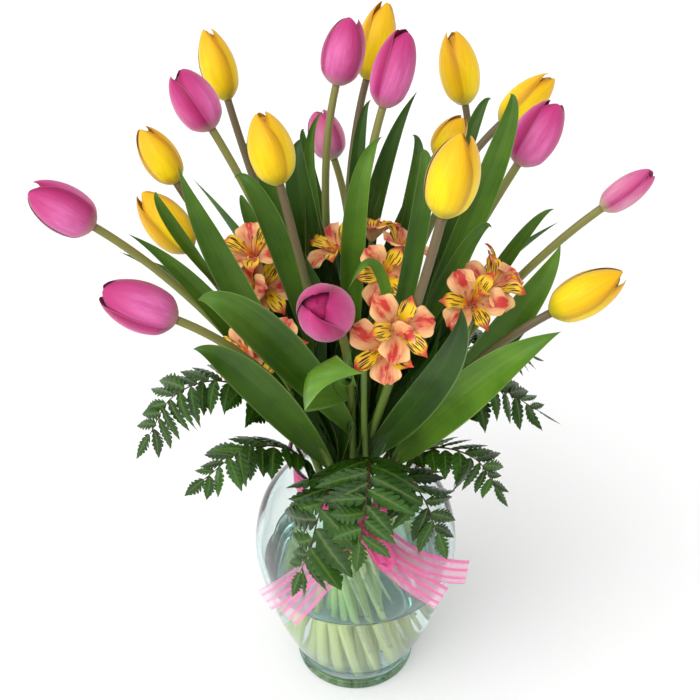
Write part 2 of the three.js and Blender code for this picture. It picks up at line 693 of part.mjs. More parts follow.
function makeRibbon() {
  const bandHeights = [BAND.low, BAND.high];
  const near = bandHeights.map((height) => planar([outsideRadius(height) + 1.2, height]));
  const far = bandHeights.map((height) => planar([outsideRadius(height) + 2.2, height])).reverse();
  const band = turned([near[0], ...far.slice().reverse(), ...near.slice().reverse()], 24);
  const knot = new THREE.SphereGeometry(1, 7, 4).scale(...KNOT.size).translate(...KNOT.at);
  const start = point(KNOT.at);
  const loops = LOOPS.map((end) => {
    const far = point(end);
    const bow = start.clone().lerp(far, 0.55);
    const [over, under] = [bow.clone().add(vec(0, -4, 9)), bow.clone().add(vec(0, -2, -1))];
    const curve = new THREE.CatmullRomCurve3([start, over, far, under, start.clone().add(vec(0, -1, -4))]);
    const width = (u) => RIBBON_WIDTH * (0.35 + 0.45 * Math.sin(Math.PI * u));
    return strip((u) => curve.getPoint(u), () => vec(0, -0.7, 0.7), width);
  });
  const tails = TAILS.map(({ angle, height, off }) => {
    const line = (u) => {
      const z = lerp(KNOT.at[2] - 2, height, u);
      return round(outsideRadius(z) + lerp(TAIL_START_OFF, off, u), lerp(FRONT, angle, u ** 0.8), z);
    };
    const width = (u) => RIBBON_WIDTH * Math.min(0.45 + 2 * u, 1);
    return strip(line, (u) => awayFromGlass(line(u)), width);
  });
  addMesh(bouquet, 'ribbon', toGeometry(fuse([band, knot, ...loops, ...tails])), paint(0xe8489a, 0.4));
}

TULIPS.forEach(makeTulip);
SPRAYS.forEach(makeSpray);
FERNS.forEach(makeFern);
makeVase();
makeWater();
makeRibbon();

export default bouquet;
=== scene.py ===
"""Tulips, alstroemerias and leatherleaf fern in a glass vase, with a sheer ribbon.

Every piece is one or more grids: a surface point is worked out from two numbers, one that runs
along the piece and one that runs across it, and a whole grid is worked out at once as an array.
Lengths are in millimetres until a mesh is made, z is up, and the vase stands at the origin.

The stems cross in the neck. Below it a stem is a straight line: its ring position at the neck and
its ring position at the foot, turned by TWIST degrees and spread a little. Above it a stem is a
cubic curve from the neck to its flower.
"""

# %% Tools
import bpy
import math
import numpy as np
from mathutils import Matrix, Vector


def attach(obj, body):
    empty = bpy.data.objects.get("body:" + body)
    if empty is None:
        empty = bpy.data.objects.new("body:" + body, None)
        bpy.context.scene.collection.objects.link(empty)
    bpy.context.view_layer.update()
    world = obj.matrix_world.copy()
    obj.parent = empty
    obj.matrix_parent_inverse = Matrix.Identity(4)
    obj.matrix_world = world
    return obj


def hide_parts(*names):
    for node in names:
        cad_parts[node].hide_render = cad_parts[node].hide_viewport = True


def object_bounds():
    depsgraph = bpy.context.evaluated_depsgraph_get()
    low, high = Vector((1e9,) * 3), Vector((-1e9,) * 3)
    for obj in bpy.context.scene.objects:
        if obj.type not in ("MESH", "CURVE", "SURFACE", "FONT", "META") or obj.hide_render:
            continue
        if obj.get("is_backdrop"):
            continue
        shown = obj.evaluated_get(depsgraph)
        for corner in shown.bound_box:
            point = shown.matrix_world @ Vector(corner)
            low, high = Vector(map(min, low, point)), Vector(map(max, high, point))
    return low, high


# %% [markdown]
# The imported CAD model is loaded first. It holds a plain solid for every stem, bloom, spray, frond,
# the vase, the water and the ribbon, each where it belongs. The fine pieces could be placed by eye,
# but they are made from the same measures as the solids, so they fit.

# %% Load the plain solids
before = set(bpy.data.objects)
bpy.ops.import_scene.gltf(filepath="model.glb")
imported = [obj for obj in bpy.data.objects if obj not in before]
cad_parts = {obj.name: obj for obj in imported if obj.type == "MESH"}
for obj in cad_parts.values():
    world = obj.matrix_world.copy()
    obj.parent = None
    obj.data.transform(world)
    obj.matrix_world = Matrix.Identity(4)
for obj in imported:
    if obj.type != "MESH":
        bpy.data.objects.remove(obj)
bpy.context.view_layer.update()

# %% [markdown]
# A stem, a leaf's middle and a ribbon all follow curves. Blender has curve objects for that. Here
# a curve is an array with one row for each point, because a whole stem or leaf is then worked out
# in one line, and can be bent or measured before it becomes a mesh. One generator gives every
# chance number, from a fixed seed, so the bunch comes out the same each time.

# %% Directions and blends
MM = 0.001
UP = np.array([0.0, 0.0, 1.0])
TINY = 1e-12
chance = np.random.default_rng(7)


def unit(v):
    """Each direction divided by its length."""
    v = np.asarray(v, float)
    return v / np.maximum(np.linalg.norm(v, axis=-1, keepdims=True), TINY)


def mix(a, b, t):
    """The point a share t of the way from a to b."""
    return a + (b - a) * t


def smooth(x, low, high):
    """0 below low, 1 above high, and three squares less two cubes of the share between them."""
    t = np.clip((x - low) / (high - low), 0, 1)
    return t * t * (3 - 2 * t)


def turned(radius, degrees, height):
    """Points at a radius and a bearing round the vase's axis."""
    angle = np.radians(degrees)
    radius, angle, height = np.broadcast_arrays(radius, angle, height)
    return np.stack([radius * np.cos(angle), radius * np.sin(angle), height], -1).astype(float)


print("100 mm out to the right, front and back:", turned(100, [0, -90, 90], 0).round().tolist())

# %% [markdown]
# Two ways of drawing a curve are enough. A stem or a leaf is bent by one or two points that pull at
# it, as with the handles of a curve in Blender. A fern's bar and the vase's outline pass through
# all of their points, because those were read off the photograph.


# %% Curves
def quadratic(a, b, c, t):
    """A bend from a to c that is pulled towards b: the weights are the terms of (1 - t + t) squared."""
    a, b, c, t = np.array(a, float), np.array(b, float), np.array(c, float), np.asarray(t)[:, None]
    return (1 - t) ** 2 * a + 2 * t * (1 - t) * b + t * t * c


def cubic(a, b, c, d, t):
    """A bend from a to d that leaves towards b and arrives from c, with the terms of a cube."""
    a, b, c, d, t = np.array(a), np.array(b), np.array(c), np.array(d), np.asarray(t)[:, None]
    return (1 - t) ** 3 * a + 3 * t * (1 - t) ** 2 * b + 3 * t * t * (1 - t) * c + t ** 3 * d


def one_span(x0, x1, x2, x3, w, centripetal):
    """The span from x1 to x2 of a curve through points: its slopes come from the points around it, and
    where it is centripetal the points' gaps count by their square roots, so it makes no loops."""
    t1, t2 = (x2 - x0) / 2, (x3 - x1) / 2
    if centripetal:
        gaps = [np.sum((q - p) ** 2, -1, keepdims=True) ** 0.25 for p, q in ((x0, x1), (x1, x2), (x2, x3))]
        a, b, c = [np.maximum(gap, 1e-6) for gap in gaps]
        t1 = ((x1 - x0) / a - (x2 - x0) / (a + b) + (x2 - x1) / b) * b
        t2 = ((x2 - x1) / b - (x3 - x1) / (b + c) + (x3 - x2) / c) * b
    return x1 + t1 * w + (3 * (x2 - x1) - 2 * t1 - t2) * w ** 2 + (2 * (x1 - x2) + t1 + t2) * w ** 3


def through(points, t, centripetal=True):
    """A smooth curve through the points, at shares t of it."""
    p = np.array(points, float)
    first, last = (2 * p[0] - p[1], 2 * p[-1] - p[-2]) if centripetal else (p[0], p[-1])
    p = np.vstack([first, p, last])
    at = np.clip(np.asarray(t) * (len(p) - 3), 0, len(p) - 3 - 1e-9)
    i = at.astype(int)
    return one_span(p[i], p[i + 1], p[i + 2], p[i + 3], (at - i)[:, None], centripetal)


def tangents(path):
    """The way a path runs at each point: the step from the point before to the one after."""
    return unit(np.gradient(path, axis=0))


def run_of(path):
    """A path's length: its steps added up."""
    return np.linalg.norm(np.diff(path, axis=0), axis=1).sum()


print("a bend over 100 mm is this long:", round(run_of(quadratic((0, 0, 0), (50, 0, 50), (100, 0, 0),
                                                                np.linspace(0, 1, 50))), 1))

# %% [markdown]
# A petal or leaf is thin, so it can be one curved sheet: a grid of points. Blender could make one
# with a plane and modifiers, but here the grid is an array, and a Skin collects such grids and
# turns them into one mesh. Each grid is smooth shaded and carries its own UV map: U runs across, V
# runs along. Two numbers go with every point for the materials: "tone", a chance shade of its
# petal or leaf, and "kind", which part of the plant it is.


# %% A skin made of grids
class Skin:
    """Grids that become one mesh."""

    def __init__(self):
        """Starts with no grids."""
        self.points, self.faces, self.uvs, self.tones, self.kinds = [], [], [], [], []
        self.count = 0

    def add(self, grid, tone=0.5, kind=0.0, closed=False):
        """Adds grids of shape (..., rows, columns, 3); closed joins the last column to the first."""
        rows, columns = grid.shape[-3:-1]
        grids = grid.reshape(-1, rows * columns, 3)
        row, column = np.meshgrid(np.arange(rows - 1), np.arange(columns - 1 + closed), indexing="ij")
        row, column = row.ravel(), column.ravel()
        rows_of = np.stack([row, row, row + 1, row + 1], -1)
        columns_of = np.stack([column, column + 1, column + 1, column], -1)
        quads = rows_of * columns + columns_of % columns
        uv = np.stack([columns_of / (columns - 1 + closed), rows_of / (rows - 1)], -1)
        starts = self.count + np.arange(len(grids))[:, None, None] * rows * columns
        self.points.append(grids.reshape(-1, 3))
        self.faces.append((quads[None] + starts).reshape(-1, 4))
        self.uvs.append(np.broadcast_to(uv, (len(grids), *uv.shape)).reshape(-1, 2))
        for store, value in ((self.tones, tone), (self.kinds, kind)):
            per_grid = np.broadcast_to(np.ravel(value), len(grids))
            store.append(np.repeat(per_grid, rows * columns))
        self.count += len(grids) * rows * columns

    def mesh(self, name):
        """Puts all grids into one Blender mesh, in metres."""
        points = np.concatenate(self.points)
        faces = np.concatenate(self.faces)
        mesh = bpy.data.meshes.new(name)
        mesh.from_pydata((points * MM).tolist(), [], faces.tolist())
        mesh.uv_layers.new(name="UVMap").uv.foreach_set("vector", np.concatenate(self.uvs).ravel())
        for label, values in (("tone", self.tones), ("kind", self.kinds)):
            data = mesh.attributes.new(label, "FLOAT", "POINT").data
            data.foreach_set("value", np.concatenate(values))
        mesh.shade_smooth()
        return mesh


sample = Skin()
sample.add(np.zeros((3, 4, 3)))
print("a grid of 3 rows and 4 columns has", sample.count, "points and", len(sample.faces[0]), "faces")

# %% [markdown]
# A finished piece takes the place of one or more plain solids, which are hidden. That could be done
# at the end for all pieces, but then one is easily missed, so one function makes the object and at
# once hangs it on the bunch's root, hides what it replaces and gives it its material.

# %% Pieces from skins
made = {}


def make_piece(name, skin, material, nodes):
    """Makes the object, hangs it on the root, hides the CAD nodes it stands for and gives it its material."""
    piece = bpy.data.objects.new(name, skin.mesh(name))
    piece.data.materials.append(material)
    bpy.context.scene.collection.objects.link(piece)
    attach(piece, "root")
    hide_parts(*nodes)
    made[name] = 2 * len(piece.data.polygons)
    return piece


print("pieces so far:", len(made))

# %% [markdown]
# Stems, stalks, stamens and the fern's bar are round bars of changing thickness. A curve object
# with a bevel would do that too. As a grid the bar can carry tone and kind like any other grid.


# %% Round bars
def ring_frame(path):
    """Two directions square to a path, steady along it: cross products with the axis it runs along least."""
    along = tangents(path)
    axes = np.eye(3)
    spare = axes[np.argmin(np.abs(along @ axes).max(axis=0))]
    first = unit(np.cross(along, spare))
    return first, np.cross(along, first)


def tube(path, radius, sides=12, flat=1.0):
    """A closed round bar along a path: a circle of the radius round every point, turned square to the
    path. The ends are shut by a last ring of no width."""
    radius = np.broadcast_to(radius, len(path))
    path = np.vstack([path[:1], path, path[-1:]])
    radius = np.concatenate([[0.0], radius, [0.0]])
    inner = path[1:-1]
    first, second = ring_frame(inner)
    first = np.vstack([first[:1], first, first[-1:]])
    second = np.vstack([second[:1], second, second[-1:]])
    turn = np.arange(sides) / sides * 2 * np.pi
    ring = first[:, None] * np.cos(turn)[:, None] + second[:, None] * np.sin(turn)[:, None] * flat
    return path[:, None] + radius[:, None, None] * ring


print("a tube 20 mm long has this many points:", tube(np.linspace([0, 0, 0], [0, 0, 20], 5), 2.0).size // 3)

# %% [markdown]
# Petals, leaves, glass and ribbon each have their own finish, so each has a material: a tree of
# shader nodes. The trees could be drawn by hand in the shader editor. In a script a small helper
# that adds a node and its wires in one call keeps them short enough to read. A colour is written
# as the red, green and blue that a screen shows, from 0 to 255.


# %% Colours and wires
def colour(red, green, blue):
    """Screen colour to the linear light values that the shaders use."""
    c = np.array([red, green, blue]) / 255
    linear = np.where(c <= 0.04045, c / 12.92, ((c + 0.055) / 1.055) ** 2.4)
    return (*linear.tolist(), 1.0)


class Wires:
    """Adds nodes to one tree and joins them."""

    def __init__(self, tree):
        """Keeps the tree."""
        self.tree = tree

    def put(self, value, socket):
        """A socket gets a wire, or a fixed value."""
        if isinstance(value, bpy.types.NodeSocket):
            self.tree.links.new(value, socket)
        else:
            socket.default_value = value

    def add(self, kind, inputs=(), **settings):
        """A new node with its settings and its inputs."""
        node = self.tree.nodes.new(kind)
        for name, value in settings.items():
            setattr(node, name, value)
        for socket, value in dict(inputs).items():
            self.put(value, node.inputs[socket])
        return node

    def math(self, operation, a, b=0.0, clamp=False):
        """Two numbers worked into one."""
        node = self.add("ShaderNodeMath", {0: a, 1: b}, operation=operation, use_clamp=clamp)
        return node.outputs[0]

    def times(self, a, b, clamp=False):
        """Two numbers multiplied; one between 0 and 1 works as a mask on the other."""
        return self.math("MULTIPLY", a, b, clamp)

    def plus(self, a, b, clamp=False):
        """Two numbers added."""
        return self.math("ADD", a, b, clamp)

    def blend(self, share, a, b):
        """The colour a share of the way from a to b."""
        inputs = {"Factor": share, 6: a, 7: b}
        return self.add("ShaderNodeMix", inputs, data_type="RGBA").outputs[2]

    def range(self, value, low, high, to_low=0.0, to_high=1.0):
        """Goes smoothly from one number to another while the value goes from low to high."""
        inputs = {"Value": value, "From Min": low, "From Max": high, "To Min": to_low, "To Max": to_high}
        node = self.add("ShaderNodeMapRange", inputs, interpolation_type="SMOOTHSTEP")
        return node.outputs["Result"]

    def number(self, name):
        """One of the two numbers that a Skin keeps with its points."""
        return self.add("ShaderNodeAttribute", attribute_name=name).outputs["Fac"]

    def across_along(self):
        """Where on its grid a point lies: the two directions of the UV map."""
        uv = self.add("ShaderNodeUVMap", uv_map="UVMap").outputs["UV"]
        split = self.add("ShaderNodeSeparateXYZ", {0: uv})
        return split.outputs["X"], split.outputs["Y"]

    def from_middle(self, across):
        """0 along a petal's or leaf's middle and 1 at both of its margins."""
        return self.math("ABSOLUTE", self.math("SUBTRACT", self.math("MULTIPLY", across, 2.0), 1.0))

    def height(self):
        """Metres above the table."""
        return self.add("ShaderNodeSeparateXYZ", {0: self.object_place()}).outputs["Z"]

    def bump(self, strength, depth, pattern, shader):
        """Fine relief: a pattern as hills of a given depth, seen in the shader's normal."""
        inputs = {"Strength": strength, "Distance": depth, "Height": pattern}
        self.put(self.add("ShaderNodeBump", inputs).outputs["Normal"], shader["Normal"])

    def place(self, x, y, z=0.0):
        """Three numbers as one place in a pattern."""
        return self.add("ShaderNodeCombineXYZ", {0: x, 1: y, 2: z}).outputs[0]

    def noise(self, vector, scale, detail=2.0, roughness=0.5):
        """Soft chance spots between 0 and 1."""
        inputs = {"Vector": vector, "Scale": scale, "Detail": detail, "Roughness": roughness}
        return self.add("ShaderNodeTexNoise", inputs).outputs["Fac"]

    def object_place(self):
        """The place of a point in the piece, which is its place in the bunch."""
        return self.add("ShaderNodeTexCoord").outputs["Object"]


print("a screen's middle grey as light:", round(colour(128, 128, 128)[0], 3))

# %% [markdown]
# An effect that several materials share is made once, as a node group with a few numbers to set.
# Copying its nodes into every material would work as well, but a later change would then have to
# be made in each. A material itself starts from the Principled shader.


# %% Node groups and materials
def new_group(name, inputs, outputs):
    """An effect for many materials: a group with numbers in and numbers out."""
    tree = bpy.data.node_groups.new(name, "ShaderNodeTree")
    for label, value in inputs.items():
        socket = tree.interface.new_socket(label, in_out="INPUT", socket_type="NodeSocketFloat")
        socket.default_value = value
    for label in outputs:
        tree.interface.new_socket(label, in_out="OUTPUT", socket_type="NodeSocketFloat")
    wires = Wires(tree)
    return tree, wires, wires.add("NodeGroupInput").outputs, wires.add("NodeGroupOutput").inputs


def use_group(wires, tree, **values):
    """Places a group in a material, with its own values."""
    node = wires.add("ShaderNodeGroup", node_tree=tree)
    for label, value in values.items():
        wires.put(value, node.inputs[label])
    return node.outputs


def new_material(name, **constants):
    """A material with a Principled shader. Each keyword sets one of its constants."""
    material = bpy.data.materials.new(name)
    material.use_nodes = True
    shader = material.node_tree.nodes["Principled BSDF"]
    for label, value in constants.items():
        shader.inputs[label.replace("_", " ").title().replace("Ior", "IOR")].default_value = value
    return material, Wires(material.node_tree), shader.inputs


print("materials so far:", len(bpy.data.materials))

# %% [markdown]
# Petals and leaves of these plants have fine lengthwise veins. They could be painted for every
# piece, but one group draws them for all: noise that is squeezed across and stretched along. The
# second group is a soft mottle, because no leaf is one even green.

# %% Veins and mottle for all plants
VEINS, w, at, to = new_group("Lengthwise veins", {"Across": 0.0, "Along": 0.0, "Count": 40.0, "Seed": 0.0},
                             ["Veins"])
spot = w.place(w.times(at["Across"], at["Count"]), w.times(at["Along"], 2.2), w.times(at["Seed"], 37.0))
fine = w.noise(spot, 1.0, 3.0, 0.6)
w.put(w.range(fine, 0.3, 0.7), to["Veins"])

MOTTLE, w, at, to = new_group("Mottle", {"Scale": 30.0}, ["Mottle"])
w.put(w.range(w.noise(w.object_place(), at["Scale"], 3.0, 0.55), 0.3, 0.7), to["Mottle"])
print("node groups:", [g.name for g in bpy.data.node_groups])

# %% [markdown]
# Tulip petals are satin and a little see-through. Their colour is deepest at the margins, paler in
# a flame up the middle, and fades to cream where the petal joins its stem. The flame and the deep
# margins are partly the tulip's own colour and partly painted light: a painted highlight up the
# middle and painted shade at the margins. The thin pale rim along each margin is a painted
# highlight. A photograph of a petal could be laid on, but masks over the petal's own across and
# along follow any petal and show no seam. The inner petals, kind 1, are deeper, partly in their own
# colour and partly as painted shade inside the bloom.


# %% Petal material
def petal_material(name, body, deep, pale, base, roughness):
    """Body colour, then the flame, partly a painted highlight, the deep margins, partly painted shade,
    a thin pale rim that is a painted highlight, and the foot laid over it.
    """
    material, w, shader = new_material(name, roughness=roughness, sheen_weight=0.25, sheen_roughness=0.4,
                                       subsurface_weight=0.25, subsurface_scale=0.006,
                                       specular_ior_level=0.25)
    across, along = w.across_along()
    tone, kind = w.number("tone"), w.number("kind")
    veins = use_group(w, VEINS, Across=across, Along=along, Count=46.0, Seed=tone)["Veins"]
    broad = use_group(w, VEINS, Across=across, Along=along, Count=9.0, Seed=tone)["Veins"]
    from_middle = w.from_middle(across)
    # The flame is partly the petal's own paler colour and partly a painted highlight up its middle.
    low_flame_and_highlight = w.range(along, 0.35, 0.95, 1.0, 0.15)
    flame_and_highlight = w.times(w.range(from_middle, 0.15, 0.95, 1.0, 0.0), low_flame_and_highlight)
    flame_and_highlight = w.times(flame_and_highlight, w.plus(w.times(broad, 0.5), 0.6))
    flame_and_highlight = w.times(flame_and_highlight, w.math("SUBTRACT", 1.0, w.times(kind, 0.8)))
    # The deep margins are partly the petal's own colour and partly painted shade; the inner petals get
    # painted shade inside the bloom as well.
    edge = w.times(w.range(from_middle, 0.55, 1.0), w.range(along, 0.2, 0.8, 0.4, 1.0))
    edge = w.math("MAXIMUM", w.times(edge, 0.75), w.times(kind, 0.5))
    edge = w.plus(edge, w.times(w.math("SUBTRACT", veins, 0.5), 0.22), clamp=True)
    shade = w.blend(flame_and_highlight, body, pale)
    shade = w.blend(edge, shade, deep)
    # The thin pale rim along each margin is a painted highlight.
    shade = w.blend(w.times(w.range(from_middle, 0.94, 1.0), 0.45), shade, pale)
    foot = w.times(w.range(along, 0.02, 0.2, 1.0, 0.0), 0.85)
    shade = w.blend(foot, shade, base)
    w.put(shade, shader["Base Color"])
    w.bump(0.28, 0.0006, veins, shader)
    return material


yellow_petal = petal_material("yellow petal", colour(232, 176, 0), colour(184, 112, 0), colour(252, 214, 6),
                              colour(190, 170, 16), 0.38)
pink_petal = petal_material("pink petal", colour(182, 30, 110), colour(136, 6, 60), colour(222, 112, 174),
                            colour(206, 136, 140), 0.4)
pale_petal = petal_material("pale pink petal", colour(196, 70, 130), colour(160, 26, 90),
                            colour(224, 148, 178), colour(196, 180, 132), 0.44)
print("petal materials:", [m.name for m in (yellow_petal, pink_petal, pale_petal)])

# %% [markdown]
# A tulip leaf is a satin green with close parallel veins and a thin light margin, and no two leaves
# are equally bright. One material serves all of them: the tone that each leaf carries picks its
# place between a dark and a bright green, which is simpler than a material for each leaf. That tone
# is partly the leaf's own green and partly painted light and shade.


# %% Leaf material
def leaf_material():
    """A dull and a bright green picked by tone, mixed by mottle and veins, with a light margin."""
    material, w, shader = new_material("tulip leaf", specular_ior_level=0.3, subsurface_weight=0.05,
                                       subsurface_scale=0.003)
    across, along = w.across_along()
    tone = w.number("tone")
    veins = use_group(w, VEINS, Across=across, Along=along, Count=60.0, Seed=tone)["Veins"]
    mottle = use_group(w, MOTTLE, Scale=22.0)["Mottle"]
    from_middle = w.from_middle(across)
    # The tone is partly the leaf's own green and partly painted light and shade.
    bright = w.blend(tone, colour(38, 74, 16), colour(112, 156, 40))
    dull = w.blend(tone, colour(20, 44, 8), colour(72, 116, 28))
    uneven = w.plus(w.times(mottle, 0.6), w.times(veins, 0.5))
    shade = w.blend(uneven, dull, bright)
    groove = w.times(w.range(from_middle, 0.0, 0.1, 1.0, 0.0), 0.05)
    shade = w.blend(groove, shade, colour(128, 160, 84))
    margin = w.times(w.range(from_middle, 0.9, 1.0), 0.5)
    shade = w.blend(margin, shade, colour(146, 176, 100))
    low = w.range(along, 0.0, 0.25, 0.25, 0.0)
    shade = w.blend(low, shade, colour(112, 148, 74))
    w.put(shade, shader["Base Color"])
    w.put(w.range(mottle, 0.0, 1.0, 0.34, 0.46), shader["Roughness"])
    w.bump(0.25, 0.0005, veins, shader)
    return material


leaf_green = leaf_material()
print("leaf nodes:", len(leaf_green.node_tree.nodes))

# %% [markdown]
# A stem is olive, browner just under a yellow flower, and pale at its lower end. That pale end is
# partly the stem's own colour, as it grew in the dark, and partly painted light: it is made nearly
# white to make up for light that the glass, the water and the bunch above hold back. The change
# follows the height above the table, so it falls at the same level on every stem whatever its length.


# %% Stem material
def stem_material(name, top):
    """Pale in the water, partly as painted light, green above it and the top colour under the flower."""
    material, w, shader = new_material(name, roughness=0.42, specular_ior_level=0.4)
    across, along = w.across_along()
    height = w.height()
    veins = use_group(w, VEINS, Across=across, Along=along, Count=14.0, Seed=w.number("tone"))["Veins"]
    shade = w.blend(w.range(along, 0.55, 0.92), colour(110, 136, 54), top)
    # Nearly white low in the vase: partly the stem's own pale colour and partly painted light, to make up for
    # light that the glass and the bunch hold back.
    shade = w.blend(w.range(height, 0.14, 0.25, 1.0, 0.0), shade, colour(240, 253, 172))
    shade = w.blend(w.times(veins, 0.2), shade, colour(70, 84, 34))
    w.put(shade, shader["Base Color"])
    w.bump(0.2, 0.0004, veins, shader)
    return material


yellow_stem = stem_material("stem of a yellow tulip", colour(104, 88, 62))
pink_stem = stem_material("stem of a pink tulip", colour(132, 130, 66))
spray_stem = stem_material("alstroemeria stalk", colour(104, 132, 58))
print("stem materials:", [m.name for m in (yellow_stem, pink_stem, spray_stem)])

# %% [markdown]
# An alstroemeria's petals are called tepals. The broad outer ones are peach with a coral blush and
# paler margins, the narrow inner ones yellow with dark maroon dashes and a red tip. The dashes are
# spots of a cell pattern, stretched along the tepal: that gives short strokes of uneven length,
# as on the flower. Kind 0 is an outer tepal, 1 an inner one, 2 a stamen, 3 a bud.


# %% Tepal material
def tepal_material():
    """One look for each kind, chosen by steps at half way between their numbers."""
    material, w, shader = new_material("alstroemeria tepal", roughness=0.45, sheen_weight=0.2,
                                       subsurface_weight=0.1, subsurface_scale=0.003)
    across, along = w.across_along()
    tone, kind = w.number("tone"), w.number("kind")
    veins = use_group(w, VEINS, Across=across, Along=along, Count=26.0, Seed=tone)["Veins"]
    broad = use_group(w, VEINS, Across=across, Along=along, Count=5.0, Seed=tone)["Veins"]
    from_middle = w.from_middle(across)
    blush = w.times(w.range(from_middle, 0.1, 0.85, 1.0, 0.0), w.range(along, 0.22, 0.58))
    blush = w.math("MAXIMUM", blush, w.times(w.range(along, 0.8, 1.0), 0.3))
    blush = w.times(blush, w.plus(w.times(broad, 1.2), 0.35), clamp=True)
    outer = w.blend(w.times(veins, 0.45), colour(248, 200, 136), colour(230, 136, 84))
    outer = w.blend(blush, outer, colour(198, 34, 20))
    cell = w.place(w.times(across, 10.0), w.times(along, 2.4), w.times(tone, 19.0))
    cells = w.add("ShaderNodeTexVoronoi", {"Vector": cell, "Scale": 1.0, "Randomness": 0.75})
    dashes = w.range(cells.outputs["Distance"], 0.36, 0.44, 1.0, 0.0)
    belt = w.times(w.range(along, 0.2, 0.32), w.range(along, 0.78, 0.9, 1.0, 0.0))
    dashes = w.times(dashes, belt)
    gold = w.times(w.range(along, 0.08, 0.3), w.range(along, 0.66, 0.9, 1.0, 0.0))
    inner = w.blend(gold, colour(206, 62, 30), colour(250, 204, 12))
    inner = w.blend(dashes, inner, colour(72, 12, 14))
    shade = w.blend(w.math("GREATER_THAN", kind, 0.5), outer, inner)
    thread = w.blend(w.range(along, 0.8, 0.92), colour(232, 110, 60), colour(150, 96, 60))
    shade = w.blend(w.math("GREATER_THAN", kind, 1.5), shade, thread)
    bud = w.blend(along, colour(96, 92, 40), colour(104, 34, 34))
    shade = w.blend(w.math("GREATER_THAN", kind, 2.5), shade, bud)
    w.put(shade, shader["Base Color"])
    w.bump(0.3, 0.0005, veins, shader)
    return material


tepal = tepal_material()
print("tepal nodes:", len(tepal.node_tree.nodes))

# %% [markdown]
# Leatherleaf fern is leathery, as its name says: a very dark green with a clear gloss, and a
# reddish brown bar that carries the branches. The fine side veins are a sine wave that slants from
# the middle, laid on as relief, because they catch the light more than they change the colour.
# Kind 0 is a branch and 1 is the bar.


# %% Fern material
def fern_material():
    """A dark and a lighter green picked by tone, with a pale middle vein; kind 1 is brown, and
    nearly white low in the vase as painted light.
    """
    material, w, shader = new_material("fern", specular_ior_level=0.35)
    across, along = w.across_along()
    tone, kind = w.number("tone"), w.number("kind")
    mottle = use_group(w, MOTTLE, Scale=60.0)["Mottle"]
    from_middle = w.from_middle(across)
    shade = w.blend(tone, colour(10, 38, 0), colour(48, 92, 10))
    shade = w.blend(w.times(mottle, 0.3), shade, colour(64, 104, 30))
    middle_vein = w.times(w.range(from_middle, 0.0, 0.2, 1.0, 0.0), 0.5)
    shade = w.blend(middle_vein, shade, colour(104, 128, 56))
    height = w.height()
    bar = w.blend(w.times(mottle, 0.5), colour(74, 44, 26), colour(60, 64, 26))
    # Nearly white low in the vase: painted light, as on the stems, to make up for light that the glass and
    # the bunch hold back.
    bar = w.blend(w.range(height, 0.16, 0.24, 1.0, 0.0), bar, colour(214, 224, 176))
    shade = w.blend(w.math("GREATER_THAN", kind, 0.5), shade, bar)
    w.put(shade, shader["Base Color"])
    w.put(w.range(mottle, 0.0, 1.0, 0.2, 0.36), shader["Roughness"])
    slant = w.math("SUBTRACT", w.times(along, 210.0), w.times(from_middle, 9.0))
    w.bump(0.35, 0.0004, w.math("SINE", slant), shader)
    return material


fern_green = fern_material()
print("fern nodes:", len(fern_green.node_tree.nodes))

# %% [markdown]
# The sheaf. A florist lays the stems aslant in the hand, so they cross in the neck and fan out
# above and below it. Placing 33 stems by hand would let many of them meet. Two rules place them
# all instead: the ring and bearing at the neck, and the spread and twist down to the foot. Of all
# the stems only two, those of pink_8 and yellow_7, still graze each other, a little above the water.

# %% Stems through the neck
NECK = 218
STEM_FOOT = 15
RING_STEP = 10
TWIST = 75
SPREAD = 1.25
FRONT = -90
BACK = 90
CURLED = (0.57, 0.48, 0.67)
LEAVING = 0.2
ARRIVING = 0.35


def sheaf_point(ring, angle, height):
    """A place on the straight part: the neck's place and the foot's, mixed by height."""
    neck = turned(RING_STEP * ring, angle, NECK)
    foot = turned(RING_STEP * ring * SPREAD, angle + TWIST, STEM_FOOT)
    return mix(neck, foot, (NECK - height) / (NECK - STEM_FOOT))


def free_stretch(ring, angle, end, direction, t):
    """The stem above the neck: it leaves in line with the part below and arrives along direction."""
    neck = sheaf_point(ring, angle, NECK)
    rise = unit(neck - sheaf_point(ring, angle, STEM_FOOT))
    reach = np.linalg.norm(end - neck)
    return cubic(neck, neck + rise * LEAVING * reach, end - direction * ARRIVING * reach, end, t)


print("a stem of the outer ring moves this far round:", TWIST, "degrees from neck to foot")
